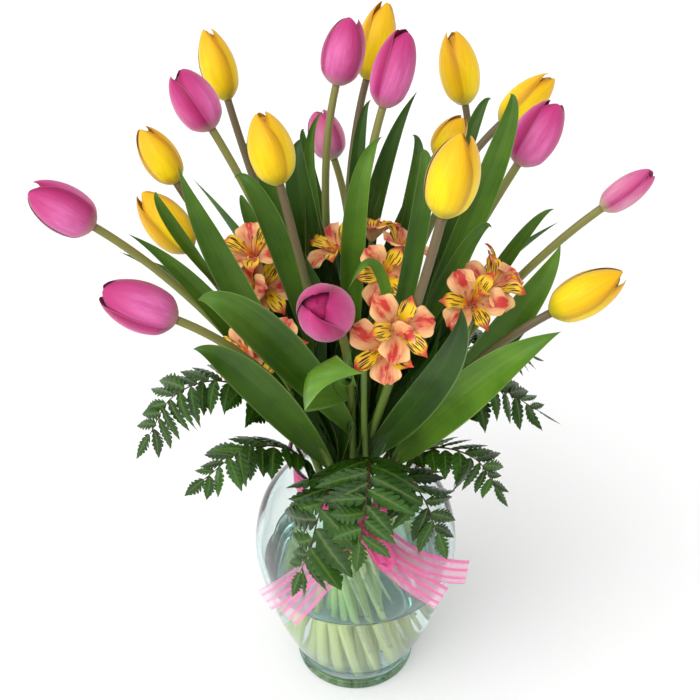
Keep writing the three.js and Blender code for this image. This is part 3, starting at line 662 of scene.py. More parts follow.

# %% [markdown]
# The tulips. Each one's bloom, bearing and leaves were read off the photograph, with the camera
# that is set at the end. They are the same measures as in the plain solids.

# %% Where the tulips stand
# name: width, base, tip, ring, bearing, and leaves. A leaf is the stem's height where it grows, a point
# halfway, its tip, its width, the side that it faces and its shade, from 0 for dark to 1 for bright.
# That shade is partly the leaf's own green and partly painted light and shade: dark for a leaf that
# lies in shade, bright for one in the light.
TULIPS = {
    "yellow_1": (30, (-102, 130, 497), (-118, 152, 548), 2, 143, [
        (300, (-64, 60, 444), (-87, 72, 488), 14, FRONT, 0.4),
        (262, (-75, 80, 360), (-140, 150, 420), 27, BACK, 0.3)]),
    "yellow_2": (32, (8, 160, 502), (24, 179, 560), 2, 115, [
        (300, (16, 73, 447), (47, 98, 520), 16, FRONT, 0.3)]),
    "yellow_3": (35, (94, 190, 467), (81, 212, 525), 3, 85, [
        (326, (94, 160, 446), (115, 184, 476), 13, FRONT, 0.4),
        (260, (78, 104, 356), (130, 190, 400), 27, FRONT, 0.2)]),
    "yellow_4": (33, (-53, -20, 499), (-66, -4, 547), 1, 225, [
        (290, (-59, -10, 458), (-88, 10, 490), 18, FRONT, 0.45)]),
    "yellow_5": (28, (-132, 30, 475), (-156, 40, 515), 2, 172, [
        (262, (-105, 40, 350), (-190, 60, 400), 25, BACK, 0.3)]),
    "yellow_6": (33, (-123, 8, 430), (-157, 18, 474), 2, 228, [
        (285, (-90, -45, 445), (-119, -40, 525), 22, FRONT, 0.45),
        (400, (-126, -48, 486), (-133, -50, 511), 9, FRONT, 0.6)]),
    "yellow_7": (34, (51, -110, 523), (63, -98, 574), 1, 330, [
        (250, (54, -106, 400), (66, -114, 462), 26, FRONT, 0.12),
        (300, (43, -45, 491), (40, -20, 522), 14, FRONT, 0.35),
        (400, (13, -85, 473), (-7, -100, 463), 8, FRONT, 0.85)]),
    "yellow_8": (26, (65, 130, 448), (87, 138, 480), 2, 88, [
        (290, (44, 70, 445), (43, 100, 482), 14, FRONT, 0.3),
        (262, (38, 90, 340), (60, 170, 380), 24, FRONT, 0.2)]),
    "yellow_9": (29, (113, 110, 486), (152, 120, 522), 2, 60, [
        (280, (77, 30, 441), (93, 70, 467), 20, FRONT, 0.3),
        (260, (90, 65, 350), (170, 110, 400), 27, BACK, 0.3)]),
    "yellow_10": (32, (134, -60, 420), (184, -55, 450), 3, 343, [
        (280, (115, -35, 398), (145, -20, 454), 24, FRONT, 0.6),
        (245, (82, -100, 388), (136, -100, 433), 30, FRONT, 0.85)]),
    "pink_1": (34, (-16, 110, 518), (-4, 126, 566), 1, 110, [
        (280, (-41, 45, 441), (-41, 70, 493), 24, FRONT, 0.15),
        (380, (-37, 95, 459), (-25, 105, 501), 9, FRONT, 0.4)]),
    "pink_2": (32, (19, 70, 517), (35, 84, 571), 0, 0, [
        (300, (-1, 10, 460), (19, 48, 505), 18, FRONT, 0.7),
        (320, (0, 60, 468), (11, 78, 521), 12, FRONT, 0.15)]),
    "pink_3": (34, (-107, 60, 504), (-132, 72, 545), 1, 165, [
        (290, (-72, 30, 421), (-87, 44, 459), 14, FRONT, 0.4)]),
    "pink_4": (31, (-18, 150, 436), (-32, 164, 474), 3, 119, [
        (320, (-37, 104, 446), (-41, 114, 480), 10, FRONT, 0.4),
        (258, (-35, 105, 350), (-70, 190, 400), 26, BACK, 0.3)]),
    "pink_5": (36, (-187, -10, 461), (-229, -10, 492), 3, 200, [
        (270, (-105, -20, 399), (-162, -25, 465), 17, FRONT, 0.5)]),
    "pink_6": (36, (-122, -80, 428), (-171, -80, 452), 3, 245, [
        (255, (-74, -95, 389), (-110, -105, 422), 26, FRONT, 0.35)]),
    "pink_7": (38, (-16, -104, 445), (-25.5, -138.5, 480), 2, 270, [
        (290, (-63, -110, 441), (-103, -110, 464), 28, FRONT, 0.5),
        (340, (-29, -137, 423), (4, -156, 440), 42, CURLED, 1.0),
        (360, (-8, -122, 412), (-4, -137, 446), 8, FRONT, 0.5)]),
    "pink_8": (34, (115, 20, 495), (141, 32, 538), 1, 15, [
        (270, (90, -5, 489), (104, 10, 554), 20, FRONT, 0.5),
        (300, (72, -30, 445), (95, -20, 466), 12, FRONT, 0.35)]),
    "pink_9": (22, (177, 10, 465), (212, 14, 493), 3, 28, [
        (300, (114, 12, 424), (145, 14, 463), 12, FRONT, 0.5)]),
}
print("tulips:", len(TULIPS), "leaves seen in the photograph:", sum(len(row[-1]) for row in TULIPS.values()))

# %% [markdown]
# A tulip's bloom has three outer petals and three inner ones, a sixth of a turn apart. Together
# they make an egg. The egg could be sculpted and cut, but each petal is made as a piece of it: it
# covers a share of the way round, and an outer one narrows to its own tip. The inner ones close
# over the middle. One edge of each tucks behind its neighbour, so the petals wrap round the bloom.


# %% The shape of a bloom
BLOOM_BLUNT = {"yellow": 0.6, "pink": 0.5}
OUTER_TAPER = {"yellow": 2.6, "pink": 4.5}
OUTER_GAPE = {"yellow": 0.02, "pink": 0.03}
PETAL_ROWS = 36
PETAL_COLUMNS = 17


def bloom_frame(base, tip, turn):
    """The bloom's own x, y and z directions as columns: the turn from upright to its axis, after a
    turn round the axis."""
    axis = unit(np.array(tip, float) - base)
    cross = np.cross(UP, axis)
    skew = np.array([[0, -cross[2], cross[1]], [cross[2], 0, -cross[0]], [-cross[1], cross[0], 0]])
    upright = np.eye(3) + skew + skew @ skew / (1 + UP @ axis)
    c, s = math.cos(math.radians(turn)), math.sin(math.radians(turn))
    return upright @ np.array([[c, -s, 0], [s, c, 0], [0, 0, 1]])


def egg(u, blunt, closed):
    """A petal's distance from the axis: sine of a share of half a turn to a power, 0 at a closed tip."""
    return np.maximum(np.sin(np.pi * (0.07 + closed * np.clip(u, 0, 1) ** 0.95)), 0) ** blunt


def petals(length, width, blunt, taper, gape, proud):
    """The six petals of a bloom that stands upright at the origin, as an array of grids. A point's
    distance from the axis is the egg's, less for an inner petal, with a crease up the middle and a
    little more where an outer tip gapes. Its angle is its share of what the petal covers."""
    u = np.linspace(0, 1, PETAL_ROWS)[:, None]
    v = np.linspace(-1, 1, PETAL_COLUMNS)[None, :]
    grids = []
    for k in range(6):
        inner = k % 2
        tall = (0.95 if inner else 1.0) - 0.03 * chance.random() + (proud if k == 1 else 0)
        narrow = np.sqrt(1 - 0.97 * np.clip((u - 0.45) / 0.55, 0, 1) ** taper) if not inner else 1
        cover = math.radians(70) if inner else math.radians(80) * (1 - 0.12 * u ** 3) * narrow
        rounding = np.sqrt(1 - (1 - np.clip(u / 0.2, 0, 1)) ** 2)
        tuck = 0.05 * v - (0.05 if inner else 0.08) * v ** 2
        out = (0.85 if inner else 0.98) + tuck * smooth(u, 0.02, 0.4)
        opening = gape * chance.random() * u ** 3 * (not inner)
        midrib = -0.02 * np.exp(-(v / 0.12) ** 2) * smooth(u, 0.15, 0.6)
        body = egg(u, blunt, 0.93 if inner else 0.895) * out * (0.2 + 0.8 * rounding)
        radius = 0.5 * width * (body + opening + midrib)
        angle = np.radians(60 * k + 6 * chance.normal()) + v * cover
        up = length * tall * u + 0 * angle
        grids.append(np.stack([radius * np.cos(angle), radius * np.sin(angle), up], -1))
    return np.array(grids)


print("a bloom is broadest at this share of its length:",
      round(float(np.argmax(egg(np.linspace(0, 1, 101), 1.0, 0.9))) / 100, 2))

# %% [markdown]
# A tulip's leaf is one long blade with a sharp tip, broadest a little below its middle. It is
# folded round the stem at its foot, opens to a shallow trough and turns a little on its way up. A
# flat plane could be bent with modifiers. One formula over a grid gives the curve, the trough, the
# waved margins and the turn at once, and no two leaves alike.


# %% The shape of a leaf
LEAF_ROWS = 56
LEAF_COLUMNS = 15
LEAF_WIDEST = 0.9165


def leaf_width(u):
    """Share of the full width: a straight rise times a fall to a sharp tip, 1 at the widest."""
    return (1 - u) ** 1.3 * (0.22 + 3.9 * u) / LEAF_WIDEST


def leaf(root, middle, tip, width, face):
    """A long blade: a bend from the stem to its tip, and square to it the half width times a share
    from -1 to 1. The share squared lifts the sides to a trough, and a sine wave waves the margins.
    face is a bearing, or the direction of the blade's width for a leaf whose end curls over."""
    u = np.linspace(0, 1, LEAF_ROWS)
    v = np.linspace(-1, 1, LEAF_COLUMNS)[None, :, None]
    bend = 2 * np.array(middle, float) - (root + np.array(tip)) / 2
    line = quadratic(root, bend, tip, u)
    along = tangents(line)
    curled = isinstance(face, tuple)
    side = np.tile(unit(face), (LEAF_ROWS, 1)) if curled else unit(np.cross(along, turned(0.8, face, 0.6)))
    lift = unit(np.cross(side, along))
    turn = (0.0 if curled else 0.35 * chance.normal()) * (u ** 1.5)[:, None]
    side, lift = side * np.cos(turn) + lift * np.sin(turn), lift * np.cos(turn) - side * np.sin(turn)
    half = (0.5 * width * leaf_width(u))[:, None, None]
    cup = (0.32 + 0.5 * (1 - u) ** 3)[:, None, None]
    wave = chance.uniform(0, 6.3)
    ripple = np.sin(8 * u + wave)[:, None, None] * np.where(v > 0, 1, -0.8) * np.abs(v) ** 3
    fold = cup * (v ** 2 - 0.5) + 0.12 * ripple + 0.16 * np.abs(v)
    return line[:, None] + side[:, None] * half * v + lift[:, None] * half * fold


print("a leaf's share of its width at the foot, the middle and the tip:",
      leaf_width(np.array([0, 0.5, 1])).round(2).tolist())

# %% [markdown]
# Each tulip is three pieces: stalk, leaves and petals. They could be one mesh, but apart they have
# their own materials. Stalk and leaves together stand for the plain leafy stem, the petals for the
# plain bloom. Deep in the bunch the photograph shows leaves that belong to no stem in particular,
# so every tulip also gets a few short dark ones, whose dark green is painted shade deep in the bunch.
# Those only fill the middle, and nothing keeps them clear of one another or of the stalks.


# %% Build the tulips
TULIP_STEM = 3.6
STEM_THINNING = 0.85
STEM_IN_BLOOM = 2.5
TURN_STEP = 37
BLOOM_SEAT = 0.7
PROUD = {"pink_2": 0.1, "pink_8": 0.04}
PALE_BLOOMS = ("pink_9", "pink_4")
INNER_WIDTH = 24
# Tone of the short inner leaves: painted shade, a dark green deep in the bunch.
INNER_PAINTED_SHADE = 0.08
INNER_ROOTS = [226, 233, 240, 247]
INNER_MIDDLE_OUT = 0.6
INNER_MIDDLE_UP = 0.55
# Short leaves inside the bunch: how far out and how high the tip is, the turn from the stem, and for
# a few the side that they face.
INNER_LEAVES = [[(74, 368, -14), (62, 440, 10)],
                [(78, 388, 26), (58, 462, -20)],
                [(70, 352, 4), (66, 428, 26)]]
MORE_LEAVES = {"pink_1": [(52, 452, 8)], "yellow_7": [(95, 426, -11)], "pink_8": [(98, 430, -8, FRONT)]}


def at_height(path, height):
    """The first point of a rising path at or above a height."""
    return path[np.argmax(path[:, 2] >= height)]


for index, (name, (width, base, tip, ring, angle, leaves)) in enumerate(TULIPS.items()):
    base, tip = np.array(base, float), np.array(tip, float)
    axis = unit(tip - base)
    sort = name.split("_")[0]
    below = np.array([sheaf_point(ring, angle, h) for h in np.linspace(STEM_FOOT, NECK, 12)])
    above = free_stretch(ring, angle, base, axis, np.linspace(0, 1, 400))
    path = np.vstack([below[:-1], above[::9], base + STEM_IN_BLOOM * axis])
    thick = TULIP_STEM * np.linspace(1, STEM_THINNING, len(path))
    stalk = Skin()
    stalk.add(tube(path, thick, 14), tone=chance.random(), closed=True)
    stem_look = yellow_stem if sort == "yellow" else pink_stem
    make_piece(f"{name}_stalk", stalk, stem_look, [f"tulip_{name}_stem"])
    green = Skin()
    # Each leaf's shade number is partly its own green and partly painted light and shade.
    for from_height, middle, end, leaf_wide, face, shade in leaves:
        green.add(leaf(at_height(above, from_height), middle, end, leaf_wide, face), tone=shade)
    # The short inner leaves below are dark as painted shade deep in the bunch.
    for reach, rise, lean, *faces in INNER_LEAVES[index % 3] + MORE_LEAVES.get(name, []):
        way = angle + lean
        middle = turned(INNER_MIDDLE_OUT * reach, way, mix(NECK, rise, INNER_MIDDLE_UP))
        end = turned(reach, way + lean, rise)
        root = at_height(above, INNER_ROOTS[index % 4])
        green.add(leaf(root, middle, end, INNER_WIDTH, faces[0] if faces else way), tone=INNER_PAINTED_SHADE)
    make_piece(f"{name}_leaves", green, leaf_green, [f"tulip_{name}_stem"])
    cup = petals(np.linalg.norm(tip - base), width, BLOOM_BLUNT[sort], OUTER_TAPER[sort], OUTER_GAPE[sort],
                 PROUD.get(name, 0.0))
    axes = bloom_frame(base, tip, TURN_STEP * index)
    bloom = Skin()
    bloom.add(cup @ axes.T + base + BLOOM_SEAT * axis, tone=chance.random(6), kind=[0, 1] * 3)
    petal_look = yellow_petal if sort == "yellow" else pale_petal if name in PALE_BLOOMS else pink_petal
    make_piece(f"{name}_petals", bloom, petal_look, [f"tulip_{name}_bloom"])
print("tulips:", len(TULIPS), "triangles so far:", sum(made.values()))

# %% [markdown]
# Alstroemerias grow as sprays: one stem parts into thin stalks, each with a flower. Where they
# stand was read off the photograph too. The way a flower faces is given as a direction, because
# that is easier to judge from a picture than three angles.

# %% Where the sprays stand
# name: hub, ring, bearing, [(middle of the flower, way it faces, turn)], [bud tips]
SPRAYS = {
    "front": ((5, -62, 384), 2, 300,
              [((27, -122, 451), (0.25, -0.75, 0.6), 0), ((17.5, -122, 435.5), (-0.3, -0.85, 0.45), 40)], []),
    "right": ((82, -26, 372), 2, 8,
              [((81, -52, 425), (-0.1, -0.7, 0.7), 0), ((98, -36, 430), (0.35, -0.35, 0.9), 0),
               ((106, -14, 426), (0.7, 0.2, 0.65), 0)], [(66, -38, 412)]),
    "back": ((12, 16, 372), 1, 62,
             [((-16.5, 27.5, 425), (-0.5, -0.2, 0.8), 40),
              ((12, 27, 440), (0.1, 0.45, 0.9), 100),
              ((36, 18, 432), (0.45, 0.1, 0.85), 0), ((21, -8, 421), (0.1, -0.8, 0.6), 0)], []),
    "left": ((-64, 4, 372), 2, 200,
             [((-78, 5, 434), (-0.2, -0.45, 0.88), 0), ((-69, -11, 411), (0.2, -0.8, 0.55), 0),
              ((-83, -6.5, 411), (-0.7, -0.45, 0.55), 20)], []),
    "low_left": ((-50, -42, 338), 3, 222,
                 [((-86, -47, 379), (-0.75, -0.3, 0.55), 20),
                  ((-57.5, -46.5, 381.5), (-0.2, -0.75, 0.6), 80)], []),
}
print("sprays:", len(SPRAYS), "flowers:", sum(len(row[3]) for row in SPRAYS.values()))

# %% [markdown]
# Every flower is a funnel of six tepals. One starts in the throat and arches outwards. The three
# outer ones are broad, with a small notch at the tip, and the three inner ones narrow. They could
# be copies of one petal, but small chances in their length, turn and ripple keep them from looking
# stamped. Six curved stamens stand in the throat.


# %% The shape of an alstroemeria flower
TEPAL = 25.5
TEPAL_BEHIND = 4
THROAT = 16
OUTER_HALF = 0.41
INNER_HALF = 0.24
NOTCH = 0.09
MARGIN_WAVE = 0.06
RIPPLE = 1.6


def tepals():
    """The six tepals round the z axis, the throat at the origin. The half width follows an oval's
    side, the height a sine of the distance from the throat, and both margins a small wave."""
    s = np.linspace(0, 1, 19)[:, None]
    v = np.linspace(-1, 1, 11)[None, :]
    grids = []
    for k in range(6):
        inner = k % 2
        reach = (0.94 if inner else 1.0) * (1 + 0.04 * chance.normal())
        middle = 0.58 if inner else 0.7
        oval = np.sqrt(np.clip(1 - ((s - middle) / np.where(s < middle, 0.8, 1.02 - middle)) ** 2, 0, 1))
        half = TEPAL * (INNER_HALF if inner else OUTER_HALF) * (0.1 + 0.92 * oval ** (2 if inner else 1.1))
        half = half * (1 - 0.6 * (1 - s) ** 3)
        notch = 0.0 if inner else NOTCH * np.exp(-(v / 0.3) ** 2) * s ** 6
        x = TEPAL * reach * (s - notch - 0.12 * s ** 4 * v ** 2)
        y = half * v * (1 + MARGIN_WAVE * s * np.sin(9 * s + 2.5 * v + k))
        out = np.hypot(x, y) / TEPAL
        high = THROAT * (0.25 + 1.1 * np.sin(0.6 * np.pi * out)) - (0 if inner else TEPAL_BEHIND * out)
        trough = (2.6 if inner else 1.6) * v ** 2 * np.sin(np.pi * np.clip(s, 0, 1))
        ripple = RIPPLE * np.sin(4 * v + 7 * s + chance.uniform(0, 6)) * s ** 2 * np.abs(v)
        turn = math.radians(60 * k + 3 * chance.normal())
        c, d = math.cos(turn), math.sin(turn)
        grids.append(np.stack([x * c - y * d, x * d + y * c, high + trough + ripple], -1))
    return np.array(grids)


def stamens():
    """Six threads with small anthers, as tubes round the z axis. Each leans out with a power of its
    length and sways by a sine."""
    t = np.linspace(0, 1, 10)
    threads = []
    for turn in np.radians(np.arange(6) * 60 + 25 + 9 * chance.normal(size=6)):
        reach, tall = 7 + 2 * chance.random(), 17 + 3 * chance.random()
        sweep = np.stack([reach * t ** 1.6, 2.2 * np.sin(2.5 * t), 3 + tall * t], -1)
        line = np.stack([sweep[:, 0] * math.cos(turn) - sweep[:, 1] * math.sin(turn),
                         sweep[:, 0] * math.sin(turn) + sweep[:, 1] * math.cos(turn), sweep[:, 2]], -1)
        threads.append(tube(line, np.where(t > 0.85, 1.0, 0.42), 6))
    return np.array(threads)


print("a tepal is", TEPAL, "mm long, so a flower is about", 2 * TEPAL, "mm across when it lies flat")

# %% [markdown]
# A spray is two pieces, its green stalks and its flowers, because these are the two plain solids it
# replaces. Each stalk thickens to a small pod under its flower, which hides the joint as the real
# one does. A bud is a short bar with a sine for its swelling.

# %% Build the sprays
ALSTROEMERIA_STEM = 2.4
PEDICEL = 1.1
POD_LENGTH = 6.5
POD_RADIUS = 2.4
BUD_LENGTH = 17
BUD_RADIUS = 3.6
STALK_BEND = 0.4
for name, (hub, ring, angle, flowers, buds) in SPRAYS.items():
    hub = np.array(hub, float)
    below = np.array([sheaf_point(ring, angle, h) for h in np.linspace(STEM_FOOT, NECK, 10)])
    above = free_stretch(ring, angle, hub, UP, np.linspace(0, 1, 30))
    stalks, blooms = Skin(), Skin()
    stalks.add(tube(np.vstack([below[:-1], above]), ALSTROEMERIA_STEM, 12), closed=True)
    for middle, face, turn in flowers:
        axis = unit(face)
        first = unit(np.cross(UP, axis))
        second = np.cross(axis, first)
        c, s = math.cos(math.radians(turn)), math.sin(math.radians(turn))
        first, second = first * c + second * s, second * c - first * s
        throat = np.array(middle, float) - THROAT * axis
        bend = throat - STALK_BEND * np.linalg.norm(throat - hub) * axis
        u = np.linspace(0, 1, 24)
        stalk = np.vstack([quadratic(hub, bend, throat, u), throat + POD_LENGTH * axis * [[0.5], [1.0]]])
        thick = np.concatenate([mix(PEDICEL, POD_RADIUS, u ** 3), [POD_RADIUS, 0.7 * POD_RADIUS]])
        stalks.add(tube(stalk, thick, 10), closed=True)
        axes = np.stack([first, second, axis], 1)
        blooms.add(tepals() @ axes.T + throat, tone=chance.random(6), kind=[0, 1] * 3)
        blooms.add(stamens() @ axes.T + throat, kind=2.0, closed=True)
    for bud in buds:
        bud = np.array(bud, float)
        way = unit(bud - hub)
        line = hub + (bud - hub) * np.linspace(0, 1, 20)[:, None]
        stalks.add(tube(line[:15], PEDICEL, 8), closed=True)
        t = np.linspace(0, 1, 16)
        swell = PEDICEL + (BUD_RADIUS - PEDICEL) * np.sin(np.pi * t ** 1.2) ** 0.8
        blooms.add(tube(bud + way * BUD_LENGTH * (t - 1)[:, None], swell, 12), kind=3.0, closed=True)
    make_piece(f"{name}_spray_stalks", stalks, spray_stem, [f"alstroemeria_{name}_stem"])
    make_piece(f"{name}_spray_flowers", blooms, tepal, [f"alstroemeria_{name}_blooms"])
print("sprays:", len(SPRAYS), "triangles so far:", sum(made.values()))

# %% [markdown]
# Nine fronds of leatherleaf fern stand in the outermost ring and hang over the vase's lip. Each is
# given by its bearing, how far its branches reach, and a few points that its bar passes.

# %% Where the fronds hang
FERNS = {
    "left": (222, 40, [(-70, -30, 318), (-107, -38, 345), (-138, -52, 340), (-155, -66, 316)]),
    "left_low": (243, 34, [(-50, -46, 282), (-84, -72, 306), (-113, -94, 296)]),
    "front_left": (262, 43, [(-14, -64, 270), (-26, -98, 272), (-36, -112, 240), (-43, -117, 222)]),
    "front": (285, 44, [(9, -68, 294), (9, -100, 306), (6, -122, 294), (2, -133, 269)]),
    "front_right": (305, 41, [(33, -60, 274), (51, -90, 272), (61, -103, 250)]),
    "right_low": (325, 34, [(57, -46, 285), (90, -70, 295), (105, -83, 279)]),
    "right": (350, 40, [(66, -18, 302), (108, -32, 332), (138, -42, 320)]),
    "right_back": (20, 36, [(64, 32, 298), (110, 44, 324), (144, 52, 306)]),
    "back": (100, 42, [(-20, 66, 284), (-32, 118, 308), (-40, 165, 286)]),
}
print("fronds:", list(FERNS))

# %% [markdown]
# A frond is drawn flat first, as a botanist would press it: a bar with branches left and right by
# turns, each cut into rounded lobes with small teeth. Particles could scatter leaflets along a
# bar, but then they would face chance ways. All branches come from one grid here, scaled and
# turned by arrays, so each keeps to the frond's plane.


# %% A flat frond
BRANCH_SPACE = 0.38
BRANCH_HALF_WIDTH = 0.25
LOBES = 6
LOBE_ROWS = 7
TEETH = 0.03


def branch_blade():
    """One branch, 1 long and lying along x: its half width is an envelope times a row of lobes."""
    s = np.linspace(0, 1, LOBES * LOBE_ROWS + 1)[:, None]
    v = np.linspace(-1, 1, 5)[None, :]
    phase = (s * LOBES + np.where(v > 0, 0.5, 0.0)) % 1
    lobe = np.sin(np.pi * phase ** 0.85) ** 0.5
    depth = 0.15 + 0.6 * (1 - s) ** 1.1
    envelope = (0.75 + 0.25 * smooth(s, 0, 0.3)) * (1 - np.clip((s - 0.3) / 0.7, 0, 1) ** 1.6)
    teeth = 1 + TEETH * np.where(np.arange(len(s)) % 2, 1, -1)[:, None] * np.abs(v)
    half = envelope * (1 - depth * (1 - lobe)) * teeth
    forward = s + 0.8 * BRANCH_HALF_WIDTH * np.abs(v) ** 1.5 * half * (1 - s)
    relief = 0.06 * np.abs(v) * np.sin(2 * np.pi * phase) * depth - 0.22 * v ** 2 * envelope
    return np.stack([forward, v * half, relief], -1)


def flat_branches(length, span):
    """Every branch of a flat frond: x across the bar, y along it, z a small lift off the flat. A
    branch is its place on the bar, plus its long share along its own lean and its wide share square
    to that. Its size follows a sine along the bar, largest before the middle."""
    pairs = round(length / (BRANCH_SPACE * span)) + 1
    step, flank = [a.ravel() for a in np.meshgrid(np.arange(pairs), [-1.0, 1.0], indexing="ij")]
    place = np.append((step - 1.2 + np.where(flank > 0, 0.45, 0.0)) / (pairs - 1.2), 1.0)
    flank = np.append(flank, 0.0)
    some = chance.normal(size=(4, len(place)))
    size = (0.48 + 0.54 * np.sin(np.pi * (0.25 + 0.7 * place))) * (1 + 0.09 * some[0])
    reach = span * np.where(flank == 0, 0.55, size)
    lean = np.radians(64 - 22 * place + 7 * some[1]) * flank
    way = np.stack([np.sin(lean), np.cos(lean)], -1)
    square = np.stack([-way[:, 1], way[:, 0]], -1)
    forward, sideways, relief = np.moveaxis(branch_blade(), -1, 0)
    wide = span * BRANCH_HALF_WIDTH * size
    long, wide = reach[:, None, None], wide[:, None, None]
    flat = np.stack([0 * place, place * length], -1)[:, None, None]
    flat = flat + way[:, None, None] * (long * forward)[..., None]
    flat = flat + square[:, None, None] * (wide * sideways)[..., None]
    tilt = (0.3 * some[2])[:, None, None]
    lift = wide * (relief + tilt * sideways) - 0.1 * long * forward ** 2 + (0.7 * some[3])[:, None, None]
    return np.concatenate([flat, lift[..., None]], -1)


print("points in one branch:", branch_blade().size // 3)

# %% [markdown]
# The pressed frond is then bent onto its curve in space. A curve modifier would do that too, but a
# few lines that read the curve at each point's share of the length also let the branches droop.


# %% Bend the fronds
FERN_RING = 3.85
FERN_FOOT = 60
RACHIS = 1.5
FROND_START = 0.28
LEAFLET_DROOP = 0.2


def bend_frond(flat, line, length, span):
    """Flat points (x across, y along, z lift) onto the frond's curve in space: the curve's point at
    their share of its length, plus x outward and z less a droop, x squared, along the normal."""
    steps = np.linspace(FROND_START, 1, len(line))
    along = tangents(line)
    outward = unit(np.cross(UP, along))
    normal = np.cross(along, outward)
    at = np.clip(FROND_START + (1 - FROND_START) * flat[..., 1] / length, FROND_START, 1)

    def read(values):
        """Values along the curve, read between its points."""
        return np.stack([np.interp(at, steps, values[:, i]) for i in range(3)], -1)

    x, y, z = flat[..., 0:1], flat[..., 1:2], flat[..., 2:3]
    past = np.maximum(y - length, 0) + np.minimum(y, 0)
    fall = z - LEAFLET_DROOP * x * x / span
    return read(line) + read(along) * past + read(outward) * x + read(normal) * fall


for name, (angle, span, route) in FERNS.items():
    neck = sheaf_point(FERN_RING, angle, NECK)
    guide = [neck, *route]
    whole = through(guide, np.linspace(0, 1, 200))
    length = run_of(whole) * (1 - FROND_START)
    line = through(guide, np.linspace(FROND_START, 1, 120))
    frond = Skin()
    branches = flat_branches(length, span)
    frond.add(bend_frond(branches, line, length, span), tone=chance.random(len(branches)), kind=0.0)
    low = np.array([sheaf_point(FERN_RING, angle, h) for h in np.linspace(FERN_FOOT, NECK, 8)])
    stalk = np.vstack([low[:-1], through(guide, np.linspace(0, 1, 60))])
    thinning = [np.ones(12), np.linspace(1, 0.5, 14), np.linspace(0.5, 0.22, len(stalk) - 26)]
    thick = RACHIS * np.concatenate(thinning)
    frond.add(tube(stalk, thick, 8), kind=1.0, closed=True)
    make_piece(f"{name}_frond", frond, fern_green, [f"fern_{name}"])
print("fronds:", len(FERNS), "triangles so far:", sum(made.values()))

# %% [markdown]
# The vase is blown glass, round all the way, so it is an outline spun round the axis. Blender's
# Screw modifier spins outlines too. Here the outside and the inside, 4 mm apart, are one closed
# outline, so that light bends at both faces as in real glass. The water is its own closed body. It
# reaches into the glass by a hair, because a gap there would shine like a layer of air.

# %% The vase's outline
VASE_OUTSIDE = [(50, 0), (54, 3), (54, 9), (53, 14), (57, 26), (63.5, 40), (76, 75), (85.5, 118), (88, 150),
                (80, 184), (60, 205), (51, 215), (50, 223), (53, 236), (57, 245)]
WALL = 4
HOLLOW_UNDER = [(0, 1.5), (40, 1.5), (47, 0)]
VASE_FLOOR = 14
FLOOR_EDGE = 42
INSIDE_EDGE = (46, 17)
WATER_LEVEL = 125
HAIR = 0.3
outside = through(VASE_OUTSIDE, np.linspace(0, 1, 120), centripetal=False)
inside = through([(r - WALL, h) for r, h in VASE_OUTSIDE[:4:-1]] + [INSIDE_EDGE], np.linspace(0, 1, 90),
                 centripetal=False)


def outside_radius(height):
    """The vase's outer radius at a height, read off its outline."""
    return np.interp(height, outside[:, 1], outside[:, 0])


def spun(profile, sides=96):
    """Spins an outline of radius and height round the vase's axis."""
    turn = np.arange(sides) / sides * 360
    return turned(profile[:, None, 0], turn, profile[:, None, 1])


lip = [(outside[-1, 0] - 1, outside[-1, 1] + 1.2), (inside[0, 0] + 1, inside[0, 1] + 1.2)]
shell = np.vstack([HOLLOW_UNDER, outside, lip, inside, [(FLOOR_EDGE, VASE_FLOOR), (0, VASE_FLOOR)]])
wetted = inside[inside[:, 1] < WATER_LEVEL - 1]
rim = np.interp(WATER_LEVEL, inside[::-1, 1], inside[::-1, 0])
meniscus = [(rim + HAIR, WATER_LEVEL + 0.9), (rim - 1.2, WATER_LEVEL), (rim - 6, WATER_LEVEL - 0.15)]
bottom = [(0, VASE_FLOOR - HAIR), (FLOOR_EDGE, VASE_FLOOR - HAIR)]
bath = np.vstack([bottom, wetted[::-1] + [HAIR, -0.1], meniscus, [(0, WATER_LEVEL - 0.15)]])
print("vase in mm: height", outside[-1, 1], "widest", round(2 * outside[:, 0].max(), 1))

# %% [markdown]
# Glass and water are clear, and show their teal only where light goes a long way through them: in
# the foot, along the rim of the wall and under the water's surface. Coloured depth could be left
# to absorption, but a tint picked by the angle of view and the height gives the same look and can
# be placed. A real vase also lets light through to the stems. The render follows few bent rays, so
# the shadow that the glass casts is made mostly see-through.


# %% Clear materials
SHADOW_SHARE = 0.7


def clear_material(name, tint, thick, ior, surface=1.0):
    """Clear, and tinted by how far the wall turns away from the view and by height; from surface
    upwards, where the water has its surface, the tint is at its strongest."""
    material, w, shader = new_material(name, roughness=0.0, transmission_weight=1.0, ior=ior)
    mottle = use_group(w, MOTTLE, Scale=18.0)["Mottle"]
    facing = w.add("ShaderNodeLayerWeight", {"Blend": 0.4}).outputs["Facing"]
    height = w.height()
    wall = w.times(w.range(facing, 0.3, 1.0), w.range(height, 0.012, 0.03, 0.15, 1.0))
    deep = w.math("MAXIMUM", wall, w.range(height, 0.008, 0.022, 0.6, 0.0))
    deep = w.math("MAXIMUM", deep, w.range(height, surface, surface + 0.0004, 0.0, 0.9))
    deep = w.times(deep, w.plus(w.times(mottle, 0.3), 0.7))
    w.put(w.blend(deep, tint, thick), shader["Base Color"])
    in_shadow = w.add("ShaderNodeLightPath").outputs["Is Shadow Ray"]
    w.put(w.math("SUBTRACT", 1.0, w.times(in_shadow, SHADOW_SHARE)), shader["Alpha"])
    return material


print("share of light let through in a shadow:", SHADOW_SHARE)

# %% [markdown]
# Glass bends light by 1.5 and water by 1.33, which is why the stems look broken at the water's
# surface. Both get the same material with their own numbers. Clear pieces with a wrong bend look
# like plastic, so these two values come from a table and not from looks.

